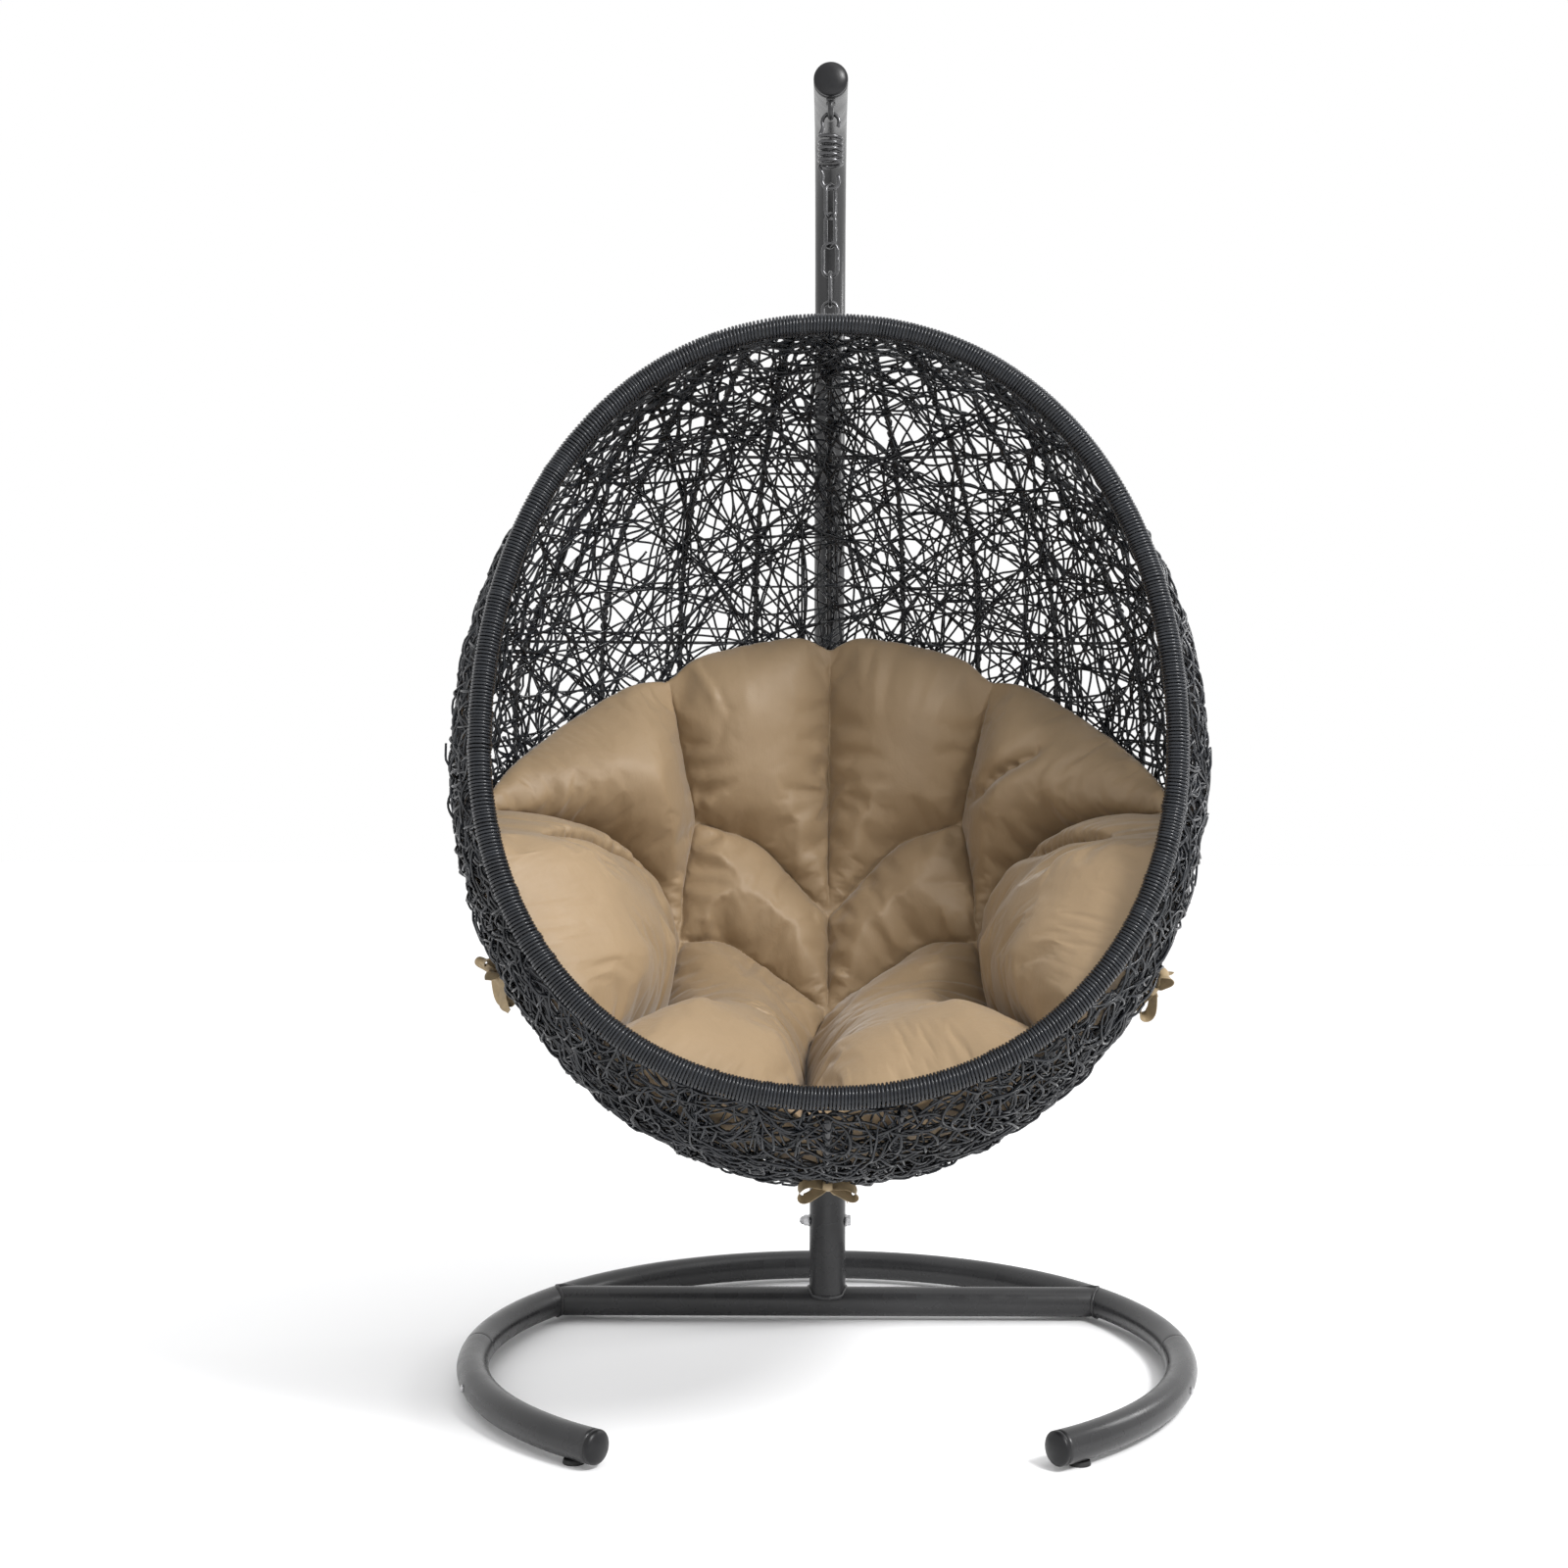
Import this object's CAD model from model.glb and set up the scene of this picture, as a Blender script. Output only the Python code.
"""A hanging egg chair: woven basket, tufted cushion, spring, chain and round-based tube stand.

Lengths are in metres and +Z is up. The open side of the basket faces -Y.
"""

import logging
import math
from collections.abc import Sequence
from dataclasses import dataclass
from enum import Enum

import bmesh
import bpy
import numpy as np
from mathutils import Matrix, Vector
from mathutils.geometry import delaunay_2d_cdt


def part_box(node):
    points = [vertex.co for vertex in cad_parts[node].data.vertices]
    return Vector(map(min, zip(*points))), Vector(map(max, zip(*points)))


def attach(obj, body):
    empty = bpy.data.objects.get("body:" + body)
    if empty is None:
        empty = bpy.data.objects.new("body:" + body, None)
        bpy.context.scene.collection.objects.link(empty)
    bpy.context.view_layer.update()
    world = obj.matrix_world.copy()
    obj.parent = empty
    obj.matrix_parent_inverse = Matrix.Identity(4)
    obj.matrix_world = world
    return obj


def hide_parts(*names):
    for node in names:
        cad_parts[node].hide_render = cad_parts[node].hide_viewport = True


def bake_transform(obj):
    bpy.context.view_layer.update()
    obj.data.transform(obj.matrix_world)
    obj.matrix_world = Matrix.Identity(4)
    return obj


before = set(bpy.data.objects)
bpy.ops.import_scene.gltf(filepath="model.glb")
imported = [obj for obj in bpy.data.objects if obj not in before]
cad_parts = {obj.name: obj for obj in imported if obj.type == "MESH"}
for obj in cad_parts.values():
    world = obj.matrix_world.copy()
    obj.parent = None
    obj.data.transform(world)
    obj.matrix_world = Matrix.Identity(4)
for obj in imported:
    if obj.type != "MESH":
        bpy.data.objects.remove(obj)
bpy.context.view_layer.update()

log = logging.getLogger("egg_chair")
Array = np.ndarray
Point = tuple[float, float, float]
Socket = bpy.types.NodeSocket
UP = np.array((0.0, 0.0, 1.0))
RIGHT = np.array((1.0, 0.0, 0.0))
BACK = np.array((0.0, 1.0, 0.0))
SIDES = ((1, "right"), (-1, "left"))


# ---------------------------------------------------------------- shaping helpers
def unit(vectors: Array) -> Array:
    """Vectors scaled to length one.

    Args:
        vectors: one vector, or one per row.

    Returns:
        The unit vectors, in the same layout.
    """
    return vectors / np.maximum(np.linalg.norm(vectors, axis=-1, keepdims=True), 1e-12)


def smooth_step(share: Array) -> Array:
    """An S curve from 0 to 1, flat outside that range."""
    share = np.clip(share, 0.0, 1.0)
    return share * share * (3 - 2 * share)


def round_shoulder(share: Array) -> Array:
    """A quarter circle that rises steeply from 0 and is level at 1."""
    return np.sqrt(np.clip(1 - (1 - np.clip(share, 0.0, 1.0)) ** 2, 0.0, 1.0))


def along(path: Array, closed: bool = False) -> Array:
    """The direction of a path at each of its points.

    Args:
        path: points, one per row.
        closed: whether the last point is followed by the first.

    Returns:
        One unit vector per point.
    """
    if closed:
        return unit(np.roll(path, -1, axis=0) - np.roll(path, 1, axis=0))
    return unit(np.gradient(path, axis=0))


def lengths(path: Array) -> Array:
    """The distance of each point of a path from its first point, measured along it."""
    steps = np.linalg.norm(np.diff(path, axis=0), axis=1)
    return np.concatenate(([0.0], np.cumsum(steps)))


def read_at(places: Array, distance: Array, path: Array) -> Array:
    """Points of a path at chosen distances along it.

    Args:
        places: the distances.
        distance: how far along each point of the path is.
        path: points, one per row.

    Returns:
        One point per place.
    """
    return np.stack([np.interp(places, distance, column) for column in path.T], axis=1)


def looped(path: Array) -> Array:
    """A closed path with its first point repeated at its end."""
    return np.concatenate((path, path[:1]))


def circle(count: int) -> Array:
    """Even angles round a full turn."""
    return 2 * np.pi * np.arange(count) / count


def middle_of(node: str) -> Array:
    """The middle of a plain solid's box."""
    low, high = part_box(node)
    return (np.array(low) + np.array(high)) / 2


def added(name: str, data: bpy.types.ID) -> bpy.types.Object:
    """A new object in the scene that holds the data."""
    made = bpy.data.objects.new(name, data)
    bpy.context.scene.collection.objects.link(made)
    return made


def carried_sides(path: Array) -> Array:
    """A side direction at each point of a path, carried along it without twist.

    Args:
        path: points, one per row.

    Returns:
        One vector per point, square to the path.
    """
    ways = along(path)
    first = RIGHT if abs(ways[0] @ RIGHT) < 0.9 else UP
    side = unit(first - (first @ ways[0]) * ways[0])
    sides = []
    for way in ways:
        side = unit(side - (side @ way) * way)
        sides.append(side)
    return np.array(sides)


@dataclass
class Skin:
    """Points and four-sided faces of a piece while it is being made."""

    points: Array
    faces: Array
    tone: Array | None = None

    @staticmethod
    def joined(skins: Sequence["Skin"]) -> "Skin":
        """Several skins as one.

        Args:
            skins: the skins to join.

        Returns:
            One skin that holds them all.
        """
        starts = np.cumsum([0] + [len(s.points) for s in skins[:-1]])
        points = np.concatenate([s.points for s in skins])
        faces = np.concatenate([s.faces + start for s, start in zip(skins, starts)])
        tones = [np.full(len(s.points), 0.5) if s.tone is None else s.tone for s in skins]
        return Skin(points, faces, np.concatenate(tones))


def grid_faces(rows: int, columns: int, closed_rows: bool, closed_columns: bool) -> Array:
    """Four-sided faces between rows of points that are stored one row after the other.

    Args:
        rows: number of rows.
        columns: number of points in a row.
        closed_rows: whether the last row joins the first.
        closed_columns: whether each row's last point joins its first.

    Returns:
        Point numbers, four per face.
    """
    row = np.arange(rows if closed_rows else rows - 1)[:, None]
    column = np.arange(columns if closed_columns else columns - 1)[None, :]
    after, beside = (row + 1) % rows, (column + 1) % columns
    corners = [
        row * columns + column,
        row * columns + beside,
        after * columns + beside,
        after * columns + column,
    ]
    return np.stack(np.broadcast_arrays(*corners), axis=-1).reshape(-1, 4)


def swept(
    path: Array,
    radius: float | Array,
    sides: int,
    side_ways: Array | None = None,
    closed: bool = False,
    tone: float = 0.5,
) -> Skin:
    """A round rod or tube along a path, with its ends drawn shut.

    Args:
        path: the centre line, one point per row.
        radius: one radius, or one per point.
        sides: number of faces round the rod.
        side_ways: a direction roughly square to the path at each point, carried along if left
            out.
        closed: whether the path is a loop.
        tone: a shade from 0 to 1 that the finish may read.

    Returns:
        The rod's skin.
    """
    radius = np.broadcast_to(np.asarray(radius, float), (len(path),)).copy()
    ways = along(path, closed)
    if side_ways is None:
        side_ways = carried_sides(path)
    else:
        side_ways = np.broadcast_to(side_ways, path.shape)
    if not closed:
        path = np.concatenate((path[:1], path, path[-1:]))
        ways = np.concatenate((ways[:1], ways, ways[-1:]))
        side_ways = np.concatenate((side_ways[:1], side_ways, side_ways[-1:]))
        radius = np.concatenate(([radius[0] * 0.02], radius, [radius[-1] * 0.02]))
    first = unit(side_ways - np.sum(side_ways * ways, axis=1, keepdims=True) * ways)
    second = np.cross(ways, first)
    turns = circle(sides)
    ring = np.cos(turns)[None, :, None] * first[:, None, :]
    ring = ring + np.sin(turns)[None, :, None] * second[:, None, :]
    points = path[:, None, :] + radius[:, None, None] * ring
    faces = grid_faces(len(path), sides, closed, True)
    return Skin(points.reshape(-1, 3), faces, np.full(points.shape[0] * sides, tone))


def turned(
    profile: Sequence[tuple[float, float]], place: Array, axis: Array, sides: int = 48
) -> Skin:
    """A shape turned on a lathe.

    Args:
        profile: (radius, distance along the axis) from one end to the other.
        place: the point on the axis that distances are measured from.
        axis: direction of the axis.
        sides: number of faces round the axis.

    Returns:
        The turned skin.
    """
    axis = unit(np.asarray(axis, float))
    first = unit(np.cross(axis, UP if abs(axis @ UP) < 0.9 else RIGHT))
    second = np.cross(axis, first)
    turns = circle(sides)
    ring = np.cos(turns)[:, None] * first + np.sin(turns)[:, None] * second
    rows = [np.asarray(place) + axis * step + ring * max(size, 1e-5) for size, step in profile]
    return Skin(np.concatenate(rows), grid_faces(len(rows), sides, False, True))


def rounded(
    corners: Sequence[tuple[float, float]], size: float, steps: int = 4
) -> list[tuple[float, float]]:
    """A lathe profile whose inner corners are rounded off.

    Args:
        corners: (radius, distance) of each corner.
        size: how much of each side the rounding takes, in metres.
        steps: number of facets in each rounding.

    Returns:
        The rounded profile.
    """
    points = [np.array(c) for c in corners]
    made = [tuple(points[0])]
    for before, corner, after in zip(points, points[1:], points[2:]):
        reach = min(size, np.linalg.norm(before - corner) / 2, np.linalg.norm(after - corner) / 2)
        start, end = corner + unit(before - corner) * reach, corner + unit(after - corner) * reach
        for i in range(steps + 1):
            t = i / steps
            made.append(tuple(start * (1 - t) ** 2 + corner * 2 * t * (1 - t) + end * t * t))
    return [*made, tuple(points[-1])]


def weld_bead(path: Array, size: float, closed: bool, seed: int) -> Skin:
    """A rippled weld along a joint.

    Args:
        path: the joint line.
        size: radius of the bead.
        closed: whether the joint is a loop.
        seed: seed of the bead's unevenness.

    Returns:
        The bead's skin.
    """
    random = np.random.default_rng(seed)
    distance = lengths(path)
    ripple = 1 + 0.10 * np.sin(2 * np.pi * distance / (size * 1.5))
    ripple = ripple + 0.05 * random.standard_normal(len(path))
    return swept(path, size * ripple, 8, closed=closed)


def resampled(path: Array, spacing: float) -> Array:
    """A path's points at an even spacing.

    Args:
        path: the points to follow.
        spacing: distance between the new points, in metres.

    Returns:
        The new points, first and last kept.
    """
    distance = lengths(path)
    count = max(2, int(round(distance[-1] / spacing)) + 1)
    even = np.linspace(0, distance[-1], count)
    return read_at(even, distance, path)


# ---------------------------------------------------------------- finishes
class Tree:
    """A material's nodes while they are being joined up."""

    def __init__(self, name: str) -> None:
        """Starts a material that has one shader and its output."""
        self.material = bpy.data.materials.new(name)
        self.material.use_nodes = True
        self.nodes = self.material.node_tree.nodes
        self.shader = self.nodes["Principled BSDF"]
        self.place = self.add("ShaderNodeTexCoord").outputs["Object"]

    def add(self, kind: str, **inputs: object) -> bpy.types.Node:
        """Adds a node.

        Args:
            kind: the node's type name.
            inputs: a value or an output for each named input, with _ for a space.

        Returns:
            The new node.
        """
        node = self.nodes.new(kind)
        for name, value in inputs.items():
            self.feed(node.inputs[name.replace("_", " ")], value)
        return node

    def feed(self, socket: Socket, value: object) -> None:
        """Sets an input, or links an output to it."""
        if isinstance(value, Socket):
            self.material.node_tree.links.new(value, socket)
        else:
            socket.default_value = value

    def noise(
        self, size: float, detail: float = 4.0, stretch: Point = (1.0, 1.0, 1.0)
    ) -> Socket:
        """Cloudy noise.

        Args:
            size: size of its patches, in metres.
            detail: how many finer layers it has.
            stretch: how much longer the patches are each way.

        Returns:
            Its value, from 0 to 1.
        """
        scale = tuple(1.0 / s for s in stretch)
        placed = self.add("ShaderNodeMapping", Vector=self.place, Scale=scale).outputs[0]
        noise = self.add("ShaderNodeTexNoise", Vector=placed, Scale=1 / size, Detail=detail)
        return noise.outputs["Fac"]

    def spread(self, value: Socket, low: float, high: float) -> Socket:
        """The middle of a noise's range stretched over low to high."""
        ends = {"From_Min": 0.3, "From_Max": 0.7, "To_Min": low, "To_Max": high}
        return self.add("ShaderNodeMapRange", Value=value, **ends).outputs["Result"]

    def between(self, share: Socket, first: Point, second: Point) -> Socket:
        """A colour between two."""
        node = self.add("ShaderNodeMix")
        node.data_type = "RGBA"
        self.feed(node.inputs["Factor"], share)
        self.feed(node.inputs[6], (*first, 1.0))
        self.feed(node.inputs[7], (*second, 1.0))
        return node.outputs[2]

    def sum(self, first: Socket, second: Socket, weight: float) -> Socket:
        """first plus weight times second."""
        node = self.nodes.new("ShaderNodeMath")
        node.operation = "MULTIPLY_ADD"
        for socket, value in zip(node.inputs, (second, weight, first)):
            self.feed(socket, value)
        return node.outputs[0]

    def bump(self, height: Socket, depth: float, strength: float = 1.0) -> None:
        """Raises the surface by a height from 0 to 1, times depth in metres."""
        node = self.add("ShaderNodeBump", Height=height, Distance=depth, Strength=strength)
        self.feed(self.shader.inputs["Normal"], node.outputs[0])


def shade(colour: Point, factor: float) -> Point:
    """A colour made lighter or darker."""
    return tuple(min(1.0, c * factor) for c in colour)


@dataclass(frozen=True)
class Finish:
    """A surface with drifting colour and gloss and a fine grain."""

    name: str
    slot: str
    colour: Point
    roughness: float
    metallic: float = 0.0
    colour_drift: float = 0.15
    drift_size: float = 0.05
    gloss_drift: float = 0.06
    grain_size: float = 0.0010
    grain_depth: float = 0.00006
    sheen: float = 0.0
    coat: float = 0.0
    ior: float = 1.5

    def material(self) -> bpy.types.Material:
        """The finish as a material, made once.

        Returns:
            The material of this finish's name.
        """
        made = bpy.data.materials.get(self.name)
        if made is not None:
            return made
        tree = Tree(self.name)
        inputs = tree.shader.inputs
        inputs["Metallic"].default_value = self.metallic
        inputs["Sheen Weight"].default_value = self.sheen
        inputs["Sheen Roughness"].default_value = 0.4
        inputs["Coat Weight"].default_value = self.coat
        inputs["Coat Roughness"].default_value = 0.15
        inputs["IOR"].default_value = self.ior
        tree.feed(inputs["Base Color"], self.colouring(tree))
        tree.feed(inputs["Roughness"], self.gloss(tree))
        self.relief(tree)
        return tree.material

    def colouring(self, tree: Tree) -> Socket:
        """The colour all over the surface."""
        drift = tree.spread(tree.noise(self.drift_size), 0.0, 1.0)
        return tree.between(drift, *self.shades(self.colour_drift))

    def shades(self, drift: float) -> tuple[Point, Point]:
        """The colour a share darker and a share lighter."""
        return shade(self.colour, 1 - drift), shade(self.colour, 1 + drift)

    def gloss(self, tree: Tree) -> Socket:
        """The roughness all over the surface."""
        low, high = self.roughness - self.gloss_drift, self.roughness + self.gloss_drift
        return tree.spread(tree.noise(self.drift_size * 0.4), low, high)

    def relief(self, tree: Tree) -> None:
        """The fine grain."""
        tree.bump(tree.noise(self.grain_size, 2.0), self.grain_depth)


@dataclass(frozen=True)
class StrandFinish(Finish):
    """Extruded plastic strand, each length a little different and drawn lines along it."""

    tone_drift: float = 0.35

    def colouring(self, tree: Tree) -> Socket:
        """A shade for each strand, with a slow drift along it."""
        tone = tree.nodes.new("ShaderNodeAttribute")
        tone.attribute_name = "tone"
        drift = tree.spread(tree.noise(self.drift_size), -0.5, 0.5)
        share = tree.sum(tone.outputs["Fac"], drift, 0.4)
        return tree.between(share, *self.shades(self.tone_drift))


@dataclass(frozen=True)
class PlatedFinish(Finish):
    """Zinc plate with a faint spangle."""

    spangle_size: float = 0.0022

    def gloss(self, tree: Tree) -> Socket:
        """A little different in each grain of the plating."""
        grain = tree.add("ShaderNodeTexVoronoi", Vector=tree.place, Scale=1 / self.spangle_size)
        low, high = self.roughness - self.gloss_drift, self.roughness + self.gloss_drift
        return tree.spread(grain.outputs["Color"], low, high)


@dataclass(frozen=True)
class ClothFinish(Finish):
    """Plain woven cloth with soft creases."""

    thread: float = 0.0011
    thread_depth: float = 0.00005
    crease_size: float = 0.035
    crease_depth: float = 0.0022

    def threads(self, tree: Tree) -> Socket:
        """The weave's height, from crossing threads on the three planes."""
        total = None
        for direction in ("X", "Y", "Z"):
            scale = 2 * math.pi / (20 * self.thread)
            wave = tree.add("ShaderNodeTexWave", Vector=tree.place, Scale=scale, Distortion=0.6)
            wave.bands_direction = direction
            height = wave.outputs["Fac"]
            total = height if total is None else tree.sum(total, height, 1.0)
        return total

    def relief(self, tree: Tree) -> None:
        """Threads over soft creases."""
        creases = tree.noise(self.crease_size, 3.0, (1.0, 1.0, 1.6))
        height = tree.sum(creases, self.threads(tree), self.thread_depth / self.crease_depth)
        tree.bump(height, self.crease_depth)


@dataclass(frozen=True)
class FloorFinish(Finish):
    """A pale studio floor."""

    def relief(self, tree: Tree) -> None:
        """The floor is even."""


class Finishes(Enum):
    """Every finish of the chair."""

    COATED_STEEL = Finish(
        "coated_steel", "steel_coated", (0.022, 0.022, 0.023), 0.28,
        drift_size=0.09, gloss_drift=0.05, grain_size=0.0016, ior=1.42,
    )
    WELD = Finish(
        "coated_weld", "steel_coated", (0.020, 0.020, 0.021), 0.38,
        colour_drift=0.25, drift_size=0.006, gloss_drift=0.08,
        grain_size=0.0009, grain_depth=0.0002,
    )
    ZINC = PlatedFinish(
        "zinc_plate", "zinc", (0.47, 0.47, 0.48), 0.34, metallic=1.0,
        colour_drift=0.10, drift_size=0.012, gloss_drift=0.08,
        grain_size=0.0006, grain_depth=0.00003,
    )
    HANGER_STEEL = Finish(
        "hanger_steel", "steel_hanger", (0.085, 0.085, 0.088), 0.24, metallic=0.85,
        colour_drift=0.20, drift_size=0.010, grain_size=0.0007, grain_depth=0.00004,
    )
    CAP_PLASTIC = Finish(
        "cap_plastic", "black_plastic", (0.008, 0.008, 0.009), 0.36,
        colour_drift=0.2, drift_size=0.02, grain_size=0.0007, grain_depth=0.00005, ior=1.36,
    )
    FOOT_RUBBER = Finish(
        "foot_rubber", "rubber", (0.014, 0.014, 0.014), 0.75,
        colour_drift=0.3, drift_size=0.01, gloss_drift=0.1, grain_size=0.0008, grain_depth=0.0001,
    )
    STRAND = StrandFinish(
        "woven_strand", "wicker", (0.0105, 0.0120, 0.0150), 0.25,
        drift_size=0.03, grain_size=0.0012, grain_depth=0.00008, ior=1.42,
    )
    COVER = ClothFinish(
        "cushion_cover", "cushion", (0.283, 0.197, 0.111), 0.55,
        colour_drift=0.05, drift_size=0.12, sheen=0.25,
    )
    RIBBON = ClothFinish(
        "tie_ribbon", "cushion", (0.27, 0.20, 0.11), 0.7,
        colour_drift=0.12, drift_size=0.01, sheen=0.2, thread=0.0016, crease_size=0.012,
    )
    FLOOR = FloorFinish(
        "studio_floor", "", (0.93, 0.93, 0.935), 0.65,
        colour_drift=0.004, drift_size=0.8, gloss_drift=0.03,
    )


def shown(
    name: str, skin: Skin, finish: Finishes, body: str, *nodes: str, crease: float = 0.0
) -> bpy.types.Object:
    """Makes a skin into a piece of the chair.

    Args:
        name: the piece's name.
        skin: its points and faces.
        finish: its finish.
        body: the body that it moves with, or none if it stretches between two.
        nodes: the plain solids that it stands for.
        crease: edges sharper than this many degrees are kept sharp, and 0 smooths them all.

    Returns:
        The new object.
    """
    mesh = bpy.data.meshes.new(name)
    mesh.vertices.add(len(skin.points))
    mesh.vertices.foreach_set("co", skin.points.astype(np.float32).ravel())
    mesh.loops.add(skin.faces.size)
    mesh.loops.foreach_set("vertex_index", skin.faces.astype(np.int32).ravel())
    mesh.polygons.add(len(skin.faces))
    mesh.polygons.foreach_set("loop_start", np.arange(0, skin.faces.size, 4, dtype=np.int32))
    mesh.update(calc_edges=True)
    mesh.validate()
    if skin.tone is not None:
        attribute = mesh.attributes.new("tone", "FLOAT", "POINT")
        attribute.data.foreach_set("value", skin.tone.astype(np.float32))
    mesh.shade_smooth()
    if crease:
        mesh.set_sharp_from_angle(angle=math.radians(crease))
    return dressed(added(name, mesh), finish, body, *nodes)


def dressed(piece: bpy.types.Object, finish: Finishes, body: str, *nodes: str) -> bpy.types.Object:
    """Gives a piece its finish and its body, and hides the solids that it stands for.

    Args:
        piece: the piece.
        finish: its finish.
        body: the body that it moves with, or none if it stretches between two.
        nodes: the plain solids that it stands for.

    Returns:
        The same piece.
    """
    piece.data.materials.clear()
    piece.data.materials.append(finish.value.material())
    if body:
        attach(piece, body)
    if nodes:
        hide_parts(*nodes)
    faces, rider = len(piece.data.polygons), body or "two bodies"
    log.info("%s: %d faces, %s, on %s", piece.name, faces, finish.value.name, rider)
    return piece


def kept(node: str, finish: Finishes, bevel: float = 0.0) -> None:
    """Keeps a plain solid, and gives it a finish and softened edges.

    Args:
        node: its name.
        finish: the finish that it takes.
        bevel: width of the softened edges, in metres.
    """
    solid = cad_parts[node]
    for place in solid.material_slots:
        place.material = finish.value.material()
    if bevel:
        edge = solid.modifiers.new("softened", "BEVEL")
        edge.width = bevel
        edge.segments = 2
        edge.limit_method = "ANGLE"
    log.info("%s: kept, %s", node, finish.value.name)


# ---------------------------------------------------------------- the egg
@dataclass(frozen=True)
class Egg:
    """The bowl of the basket: an egg cut by the leaning plane of the rim."""

    half_width: float = 0.526
    back_depth: float = 0.412
    front_depth: float = 0.520
    upper: float = 0.604
    lower: float = 0.586
    pole_below_level: float = math.radians(20)
    middle_before_chain: float = 0.080
    middle_below_chain: float = 0.60753
    rim_half_width: float = 0.4675
    rim_upper: float = 0.585
    rim_lower: float = 0.4925
    rim_roundness: float = 2.13
    rim_rise: float = 0.0480
    rim_lean: float = math.radians(16.4)
    rim_forward: float = 0.120

    @property
    def hang_y(self) -> float:
        """Depth of the line that the basket hangs on."""
        return middle_of("chain_link_3")[1]

    @property
    def middle(self) -> Array:
        """The middle of the egg."""
        chain_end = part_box("chain_link_5")[0].z
        y = self.hang_y - self.middle_before_chain
        return np.array((0.0, y, chain_end - self.middle_below_chain))

    def half_sizes(self, ways: Array) -> Array:
        """The egg's half sizes on the side that each direction points to."""
        depth = np.where(ways[..., 1] > 0, self.back_depth, self.front_depth)
        height = np.where(ways[..., 2] > 0, self.upper, self.lower)
        return np.stack((np.full(depth.shape, self.half_width), depth, height), axis=-1)

    def normal(self, ways: Array) -> Array:
        """The outward direction of the surface, square to it."""
        return unit(ways / self.half_sizes(ways))

    def surface(self, ways: Array, out: float | Array = 0.0) -> Array:
        """Points of the egg, moved outward.

        Args:
            ways: directions on the unit sphere, one per row.
            out: distance outward from the surface, one for all or one per row.

        Returns:
            The points.
        """
        out = np.asarray(out, float)
        out = out[..., None] if out.ndim else out
        return self.middle + ways * self.half_sizes(ways) + self.normal(ways) * out

    def ways_to(self, points: Array) -> Array:
        """The directions on the unit sphere of points near the egg."""
        offset = points - self.middle
        return unit(offset / self.half_sizes(offset))

    @property
    def rim_up(self) -> Array:
        """The direction up the rim's plane."""
        return np.array((0.0, math.sin(self.rim_lean), math.cos(self.rim_lean)))

    @property
    def rim_back(self) -> Array:
        """The direction square to the rim's plane, into the basket."""
        return np.array((0.0, math.cos(self.rim_lean), -math.sin(self.rim_lean)))

    @property
    def rim_middle(self) -> Array:
        """The middle of the rim's outline."""
        y = self.hang_y - self.rim_forward - self.rim_up[1] * self.rim_upper
        return np.array((0.0, y, self.middle[2] + self.rim_rise))

    def rim(self, turns: Array) -> Array:
        """Points of the rim's centre line. A quarter turn is its top."""
        c, s = np.cos(turns), np.sin(turns)
        power = 2 / self.rim_roundness
        across = self.rim_half_width * np.sign(c) * np.abs(c) ** power
        rise = np.where(s > 0, self.rim_upper, self.rim_lower) * np.sign(s) * np.abs(s) ** power
        return self.rim_middle + across[:, None] * RIGHT + rise[:, None] * self.rim_up

    def even_rim(self, count: int) -> Array:
        """Points of the rim's centre line at an even spacing, as a loop."""
        dense = self.rim(np.linspace(0, 2 * np.pi, 4001) - np.pi / 2)
        distance = lengths(dense)
        even = np.linspace(0, distance[-1], count, endpoint=False)
        return read_at(even, distance, dense)

    def behind_rim(self, points: Array) -> Array:
        """How far points are behind the rim's plane."""
        return (points - self.rim_middle) @ self.rim_back

    def spread(self, flat: Array) -> Array:
        """Directions on the unit sphere from flat places on the bowl.

        Args:
            flat: (across, up) from the deepest point of the bowl, as angles in radians.

        Returns:
            One direction per row.
        """
        pole = np.array((0.0, math.cos(self.pole_below_level), -math.sin(self.pole_below_level)))
        rise = np.array((0.0, math.sin(self.pole_below_level), math.cos(self.pole_below_level)))
        angle = np.linalg.norm(flat, axis=1, keepdims=True)
        share = np.sinc(angle / np.pi)
        return np.cos(angle) * pole + share * (flat[:, :1] * RIGHT + flat[:, 1:] * rise)


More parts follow.
